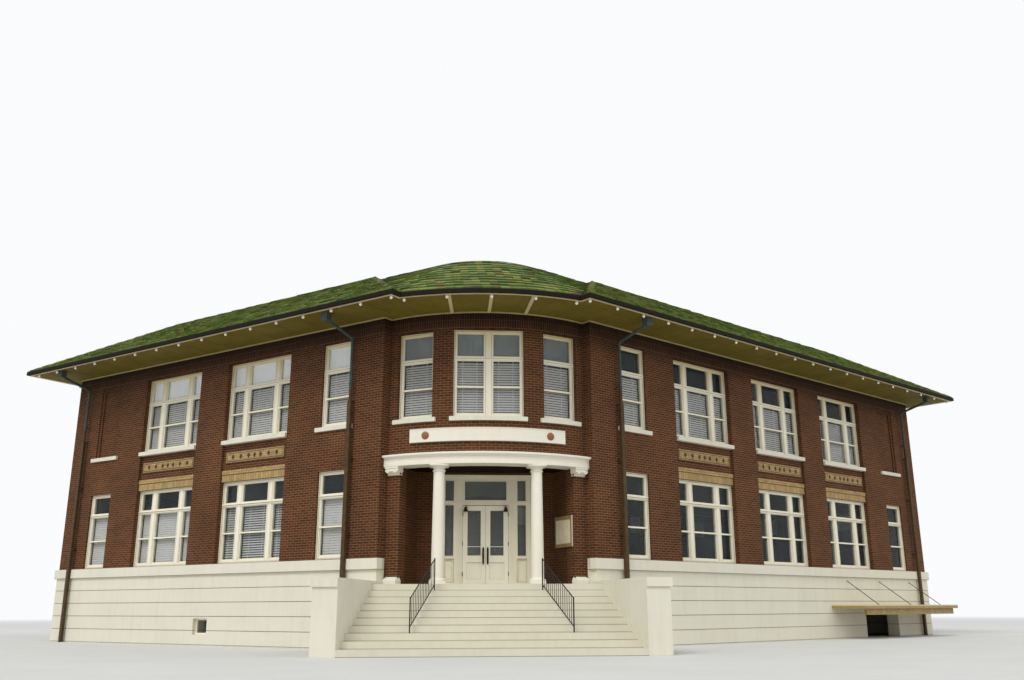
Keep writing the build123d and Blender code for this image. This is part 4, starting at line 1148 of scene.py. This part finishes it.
def tan_brick():
    """Tan brick: a soldier lintel, and small bricks above it."""
    make = Finish("tan_brick", 0.85)
    u, v = flat_wall(make)
    level = make.maths("SUBTRACT", v, LOWER_HEAD)
    soldier, soldier_joints = make.bricks(level, u, TAN_BRICK, LINTEL_SIZES, 0.2, 0.0, 0.0)
    running, running_joints = make.bricks(u, v, TAN_BRICK, TAN_SIZES, 0.2, 0.0, 0.5)
    above = make.maths("GREATER_THAN", v, LOWER_HEAD + LINTEL_HIGH)
    mottle = make.ramp(make.noise(9, 4), (0.3, (0.84, 0.83, 0.80, 1)), (0.7, (1.08, 1.08, 1.06, 1)))
    grain = make.maths("MULTIPLY", make.noise(70, 2), 0.3)
    joints = make.mix(above, soldier_joints, running_joints)
    colour = make.times(make.mix(above, soldier, running), mottle)
    make.done(colour, make.maths("SUBTRACT", grain, joints), 0.005)


def painted(name, colour, stain, roughness, streak, grain=60, deep=0.0015, over=None):
    """Painted surface with soft stains that run down it and a fine grain; over changes its colour last."""
    make = Finish(name, roughness)
    stretched = make.add("ShaderNodeMapping", {"Vector": make.place, "Scale": (3.0, 3.0, 0.35)}).outputs[0]
    marks = make.maths("MULTIPLY", make.noise(2.2, 5, 0.6, stretched), make.noise(0.9, 3))
    shade = make.mix(make.ramp(marks, (0.16, 0.0), (0.42, streak)), colour, stain)
    make.done(over(make, shade) if over else shade, make.noise(grain, 3), deep)


def eave_grime_and_painted_shade(make, colour):
    """Yellows and darkens a finish towards the heads of the upper windows: grime, and painted shade of the
    eaves.
    """
    share = make.span(make.height(), UPPER_HEAD - 0.75, UPPER_HEAD)
    return make.times(colour, make.mix(share, 1.0, (0.82, 0.74, 0.54, 1)))


def course_lines(first, step, half, joint):
    """Dark bands along level lines on upright faces."""
    def over(make, colour):
        upright = make.maths("LESS_THAN", make.maths("ABSOLUTE", make.parts(make.facing())["Z"]), 0.5)
        place = make.maths("SUBTRACT", make.height(), first)
        nearest = make.maths("MULTIPLY", make.maths("ROUND", make.maths("DIVIDE", place, step)), step)
        near = make.maths("ABSOLUTE", make.maths("SUBTRACT", place, nearest))
        line = make.maths("MULTIPLY", make.maths("LESS_THAN", near, half), upright)
        return make.mix(make.maths("MULTIPLY", line, 0.8), colour, joint)
    return over


def clay_tile(name, moss, *stops):
    """Clay tile whose colour changes from tile to tile, with lichen and rain marks."""
    make = Finish(name, 0.75, Specular_IOR_Level=0.25)
    own = make.ramp(make.add("ShaderNodeNewGeometry", {}).outputs["Random Per Island"], *stops)
    rain = make.ramp(make.noise(8.5, 6, 0.70), (0.3, (0.72, 0.74, 0.70, 1)), (0.72, (1.18, 1.16, 1.10, 1)))
    patches = make.ramp(make.noise(1.3, 4, 0.6), (0.50, 0.0), (0.66, 0.55))
    make.done(make.mix(patches, make.times(own, rain), moss), make.noise(45, 4), 0.004)


def soffit_boards():
    """Olive painted boards with slight fading."""
    make = Finish("olive_boards", 0.8, Specular_IOR_Level=0.2)
    fade = make.ramp(make.noise(1.1, 4), (0.3, (100, 87, 26)), (0.7, (116, 101, 34)))
    fine = make.ramp(make.noise(14, 3), (0.3, 0.90), (0.7, 1.06))
    make.done(make.times(fade, fine), make.noise(40, 3), 0.002)


def metal_paint(name, low_colour, high_colour, change, roughness):
    """Painted metal with one colour below a level and another above it, worn in patches."""
    make = Finish(name, roughness, Specular_IOR_Level=0.2)
    wander = make.maths("MULTIPLY_ADD", make.noise(6, 3), 0.5, -0.25)
    above = make.maths("GREATER_THAN", make.maths("ADD", make.height(), wander), change)
    wear = make.ramp(make.noise(7, 5), (0.35, 0.75), (0.7, 1.15))
    make.done(make.times(make.mix(above, low_colour, high_colour), wear), make.noise(30, 3), 0.001)


def mottled(name, dark, light, roughness, scale, deep, **values):
    """Plain finish with a soft mottle and a fine grain."""
    make = Finish(name, roughness, **values)
    make.done(make.ramp(make.noise(scale, 5), (0.3, dark), (0.7, light)), make.noise(scale * 8, 3), deep)


def window_glass(name, low_tints, high_tints):
    """Clear pane with a slight, uneven tint, and another colour in the upper storey's transom lights: on the
    pale glass, a painted sky reflection.
    """
    make = Finish(name, 0.03, Alpha=0.16, IOR=1.55)
    cloud = make.noise(0.8, 2)
    low, high = (make.ramp(cloud, (0.3, dark), (0.7, light)) for dark, light in (low_tints, high_tints))
    make.done(make.mix(make.maths("GREATER_THAN", make.height(), HIGH_LIGHTS), low, high))


def canopy_paint():
    """Tan painted slab and beam with a paler edge, and dark rods above them."""
    make = Finish("canopy_paint", 0.6, Specular_IOR_Level=0.3)
    z = make.height()
    low, high = CANOPY_EDGE
    rods = make.maths("GREATER_THAN", z, high)
    edge = make.maths("MULTIPLY", make.maths("GREATER_THAN", z, low), make.maths("LESS_THAN", z, high))
    paint = make.ramp(make.noise(5, 4), (0.3, (148, 126, 80)), (0.7, (172, 148, 98)))
    paint = make.mix(rods, make.mix(edge, paint, (206, 194, 150)), (44, 36, 26))
    make.done(paint, make.noise(50, 3), 0.002)


BASE_LINES = course_lines(0.416, 0.393, 0.009, (112, 100, 70))
# Painted shade: a dark band along the foot of each riser, in the step's inner corner
STEP_SHADOW_LINES = course_lines(0.006, 0.160, 0.008, (128, 120, 98))
CLEAR_TINTS = ((60, 70, 70), (92, 104, 104))
GREY_TINTS = ((140, 150, 146), (184, 192, 188))
# Painted reflection: the pale colour of the left wing's upper transom panes stands in for the sky they
# reflect
PAINTED_SKY_REFLECTION = ((240, 243, 244), (252, 253, 253))
GUTTER_COLOUR = (18, 15, 6)

brick_wall("brick", flat_wall)
brick_wall("brick_bay", bay_wall)
# Brick of the porch walls, darkened as painted shade
brick_wall("brick_porch", flat_wall, PORCH_SHADED_BRICK)
tan_brick()
painted("white_masonry", (223, 219, 201), (174, 166, 142), 0.75, 0.20, 45, 0.003)
painted("base_masonry", (223, 219, 201), (176, 168, 144), 0.75, 0.16, 45, 0.003, BASE_LINES)
painted("step_masonry", (212, 207, 188), (168, 160, 136), 0.7, 0.16, 45, 0.003, STEP_SHADOW_LINES)
painted("white_paint", (232, 227, 210), (190, 182, 160), 0.50, 0.14)
# Cream paint with grime and painted shade towards the upper window heads
painted("cream_paint", (240, 235, 214), (196, 186, 156), 0.45, 0.18, over=eave_grime_and_painted_shade)
painted("entrance_cream", (231, 225, 200), (184, 176, 144), 0.5, 0.20)
painted("eave_cream", (204, 190, 146), (156, 142, 100), 0.5, 0.25)
painted("blind_white", (244, 243, 238), (214, 212, 204), 0.55, 0.10)
# Porch ceiling: dark brown, darkened further as painted shade of the porch
mottled("ceiling_brown", (20, 13, 6), (31, 21, 10), 0.8, 5.0, 0.002, Specular_IOR_Level=0.05)
mottled("eave_olive", (142, 126, 74), (162, 146, 92), 0.7, 6.0, 0.001)
# Sheets behind the transom lights; on the left wing and the bay they are painted reflection of the sky
mottled("shade_pale", (238, 243, 244), (250, 252, 252), 0.8, 2.0, 0.001)
mottled("shade_grey", (132, 142, 142), (164, 172, 170), 0.8, 2.0, 0.001)
# Dark sheets behind the lower rear windows: painted shade
mottled("shade_dark", (44, 42, 36), (60, 56, 48), 0.9, 2.0, 0.001)
# Colours of the painted shadow lines in the windows, on the doors and on the entrance
mottled("frame_seam", (132, 116, 72), (154, 138, 92), 0.8, 12.0, 0.001)
mottled("seam_grime", (104, 94, 68), (128, 118, 90), 0.8, 10.0, 0.001)
mottled("seam_dark", (66, 56, 34), (86, 74, 48), 0.8, 10.0, 0.001)
mottled("lamp_white", (240, 236, 224), (250, 248, 240), 0.25, 4.0, 0.0002)
mottled("umber_brick", (58, 38, 26), (86, 56, 38), 0.8, 20.0, 0.002)
mottled("roof_under", (34, 42, 22), (52, 62, 34), 0.85, 6.0, 0.002)
mottled("joint_dark", (84, 72, 24), (94, 82, 28), 0.8, 8.0, 0.001)
mottled("dark_bronze", (44, 30, 20), (74, 50, 32), 0.42, 20.0, 0.001, Metallic=0.8)
mottled("copper", (122, 76, 42), (150, 98, 58), 0.5, 24.0, 0.001, Metallic=0.2)
mottled("black_iron", (22, 22, 22), (38, 36, 34), 0.45, 30.0, 0.0006, Metallic=0.3)
mottled("gilt_tile", (116, 98, 58), (146, 124, 78), 0.6, 12.0, 0.002)
mottled("plaque_field", (206, 196, 166), (222, 214, 190), 0.5, 5.0, 0.001)
mottled("floor_screed", (112, 108, 98), (134, 128, 118), 0.8, 3.0, 0.001)
mottled("roofing_felt", (86, 88, 84), (112, 112, 106), 0.9, 2.0, 0.003)
window_glass("glass", CLEAR_TINTS, CLEAR_TINTS)
window_glass("glass_grey", GREY_TINTS, GREY_TINTS)
window_glass("glass_pale", CLEAR_TINTS, PAINTED_SKY_REFLECTION)
canopy_paint()
clay_tile("roof_tile", (80, 102, 38), (0.0, (70, 88, 38)), (0.35, (92, 112, 48)), (0.7, (116, 132, 60)),
          (0.86, (120, 106, 54)), (1.0, (66, 76, 38)))
clay_tile("hip_tile", (84, 98, 52), (0.0, (112, 118, 72)), (0.5, (138, 132, 88)), (0.8, (96, 104, 62)),
          (1.0, (84, 72, 48)))
soffit_boards()
metal_paint("gutter_dark", GUTTER_COLOUR, GUTTER_COLOUR, 50.0, 0.8)
metal_paint("pipe_metal", (78, 60, 34), (70, 80, 74), 6.90, 0.55)

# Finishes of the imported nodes: by slot where the finish has another name, and by node where it differs
SLOT_FINISH = {"cream_plaque": "plaque_field", "brown_metal": "gutter_dark", "green_tile": "roof_under"}
NODE_FINISH = {
    "bay_wall_left": "brick_bay", "bay_wall_centre": "brick_bay", "bay_wall_right": "brick_bay",
    "porch_piers": "brick_bay", "porch_side_walls": "brick_porch", "porch_back_walls": "brick_porch",
    "porch_back_over": "brick_porch", "porch_ceiling": "ceiling_brown", "window_glass_left": "glass_pale",
    "entrance_glass": "glass_grey", "door_glass_left": "glass_grey", "door_glass_right": "glass_grey",
    "entrance_frame": "entrance_cream", "downspouts": "pipe_metal", "steps": "step_masonry",
    "base_left": "base_masonry", "base_right": "base_masonry", "basement_canopy": "canopy_paint",
}


def finish_nodes():
    """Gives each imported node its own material."""
    slots = {row["node"]: row["material_slot"] for row in frame["record"]["subparts"]}
    for name, node in frame["nodes"].items():
        material = FINISH[NODE_FINISH.get(name) or SLOT_FINISH.get(slots[name], slots[name])]
        if not node.material_slots:
            node.data.materials.append(material)
        for own in node.material_slots:
            own.material = material


# Stage
CAMERA_PLACE = (-1.0855, -25.3859, 1.0375)
CAMERA_YAW = radians(3.9507)
CAMERA_PITCH = radians(15.6483)
CAMERA_ROLL = radians(-0.1770)
LENS = 33.535
PALE_SKY = (0.96, 0.97, 0.98, 1)
FLOOR_FADE = (30.0, 90.0)
SKY_STRENGTH = 0.65


def stand(name, data):
    """A new object in the scene."""
    made = bpy.data.objects.new(name, data)
    bpy.context.scene.collection.objects.link(made)
    return made


def camera():
    data = bpy.data.cameras.new("camera")
    data.lens = LENS
    data.sensor_width = 36.0
    data.clip_end = 500.0
    made = stand("camera", data)
    level = cos(CAMERA_PITCH)
    ahead = Vector((sin(CAMERA_YAW) * level, cos(CAMERA_YAW) * level, sin(CAMERA_PITCH)))
    right = Vector((cos(CAMERA_YAW), -sin(CAMERA_YAW), 0))
    up = right.cross(ahead)
    turned_right = cos(CAMERA_ROLL) * right + sin(CAMERA_ROLL) * up
    turned_up = -sin(CAMERA_ROLL) * right + cos(CAMERA_ROLL) * up
    matrix = Matrix((turned_right, turned_up, -ahead)).transposed().to_4x4()
    matrix.translation = CAMERA_PLACE
    made.matrix_world = matrix
    bpy.context.scene.camera = made


def floor():
    """Plain pale ground that fades into the background."""
    make = Finish("floor", 0.9)
    far = make.add("ShaderNodeVectorMath", {0: make.place}, operation="LENGTH").outputs["Value"]
    share = make.span(far, *FLOOR_FADE)
    tone = make.ramp(make.noise(0.4, 3), (0.3, (0.60, 0.60, 0.58, 1)), (0.7, (0.64, 0.64, 0.62, 1)))
    make.done(make.mix(share, tone, 0.0))
    glow = make.add("ShaderNodeEmission", {"Color": PALE_SKY, "Strength": 1.0})
    mixed = make.add("ShaderNodeMixShader", {0: share, 1: make.shader.outputs[0], 2: glow.outputs[0]})
    make.link(mixed.outputs[0], make.tree.nodes["Material Output"].inputs["Surface"])
    mesh = bpy.data.meshes.new("floor")
    points = [(x, y, -0.002) for x, y in circle(160.0, 64)]
    mesh.from_pydata(points, [], [tuple(range(len(points)))])
    mesh.materials.append(make.material)
    stand("floor", mesh)


def sun(name, energy, azimuth, elevation, angle):
    """Soft lamp that shines from an azimuth off the front and a height."""
    data = bpy.data.lights.new(name, "SUN")
    data.energy = energy
    data.angle = radians(angle)
    a, e = radians(azimuth), radians(elevation)
    source = Vector((sin(a) * cos(e), -cos(a) * cos(e), sin(e)))
    stand(name, data).rotation_euler = source.to_track_quat("Z", "Y").to_euler()


def light():
    """Soft lamps and an even pale sky; the background shows white."""
    world = bpy.data.worlds.new("sky")
    bpy.context.scene.world = world
    world.use_nodes = True
    make = Nodes(world.node_tree)
    background = make.tree.nodes["Background"]
    ray = make.add("ShaderNodeLightPath", {}).outputs
    seen = make.maths("MAXIMUM", ray["Is Glossy Ray"], ray["Is Transmission Ray"])
    seen = make.maths("MAXIMUM", ray["Is Camera Ray"], seen)
    strength = make.maths("MULTIPLY_ADD", seen, 1.0 - SKY_STRENGTH, SKY_STRENGTH)
    make.link(strength, background.inputs["Strength"])
    background.inputs["Color"].default_value = PALE_SKY
    sun("key", 1.7, -35, 48, 30)
    sun("fill", 0.5, 50, 35, 40)


finish_nodes()
dress_windows()
tile_roofs()
hip_tiles()
deck_edge()
eave_trim()
soffit_joints()
eave_lamps()
spandrel_trim()
entablature_trim()
sign_trim()
pier_trim()
for door_side in TRIPLES:
    door_trim(door_side)
entrance_trim()
plaque_trim()
camera()
floor()
light()
bpy.context.scene.view_settings.view_transform = "Standard"
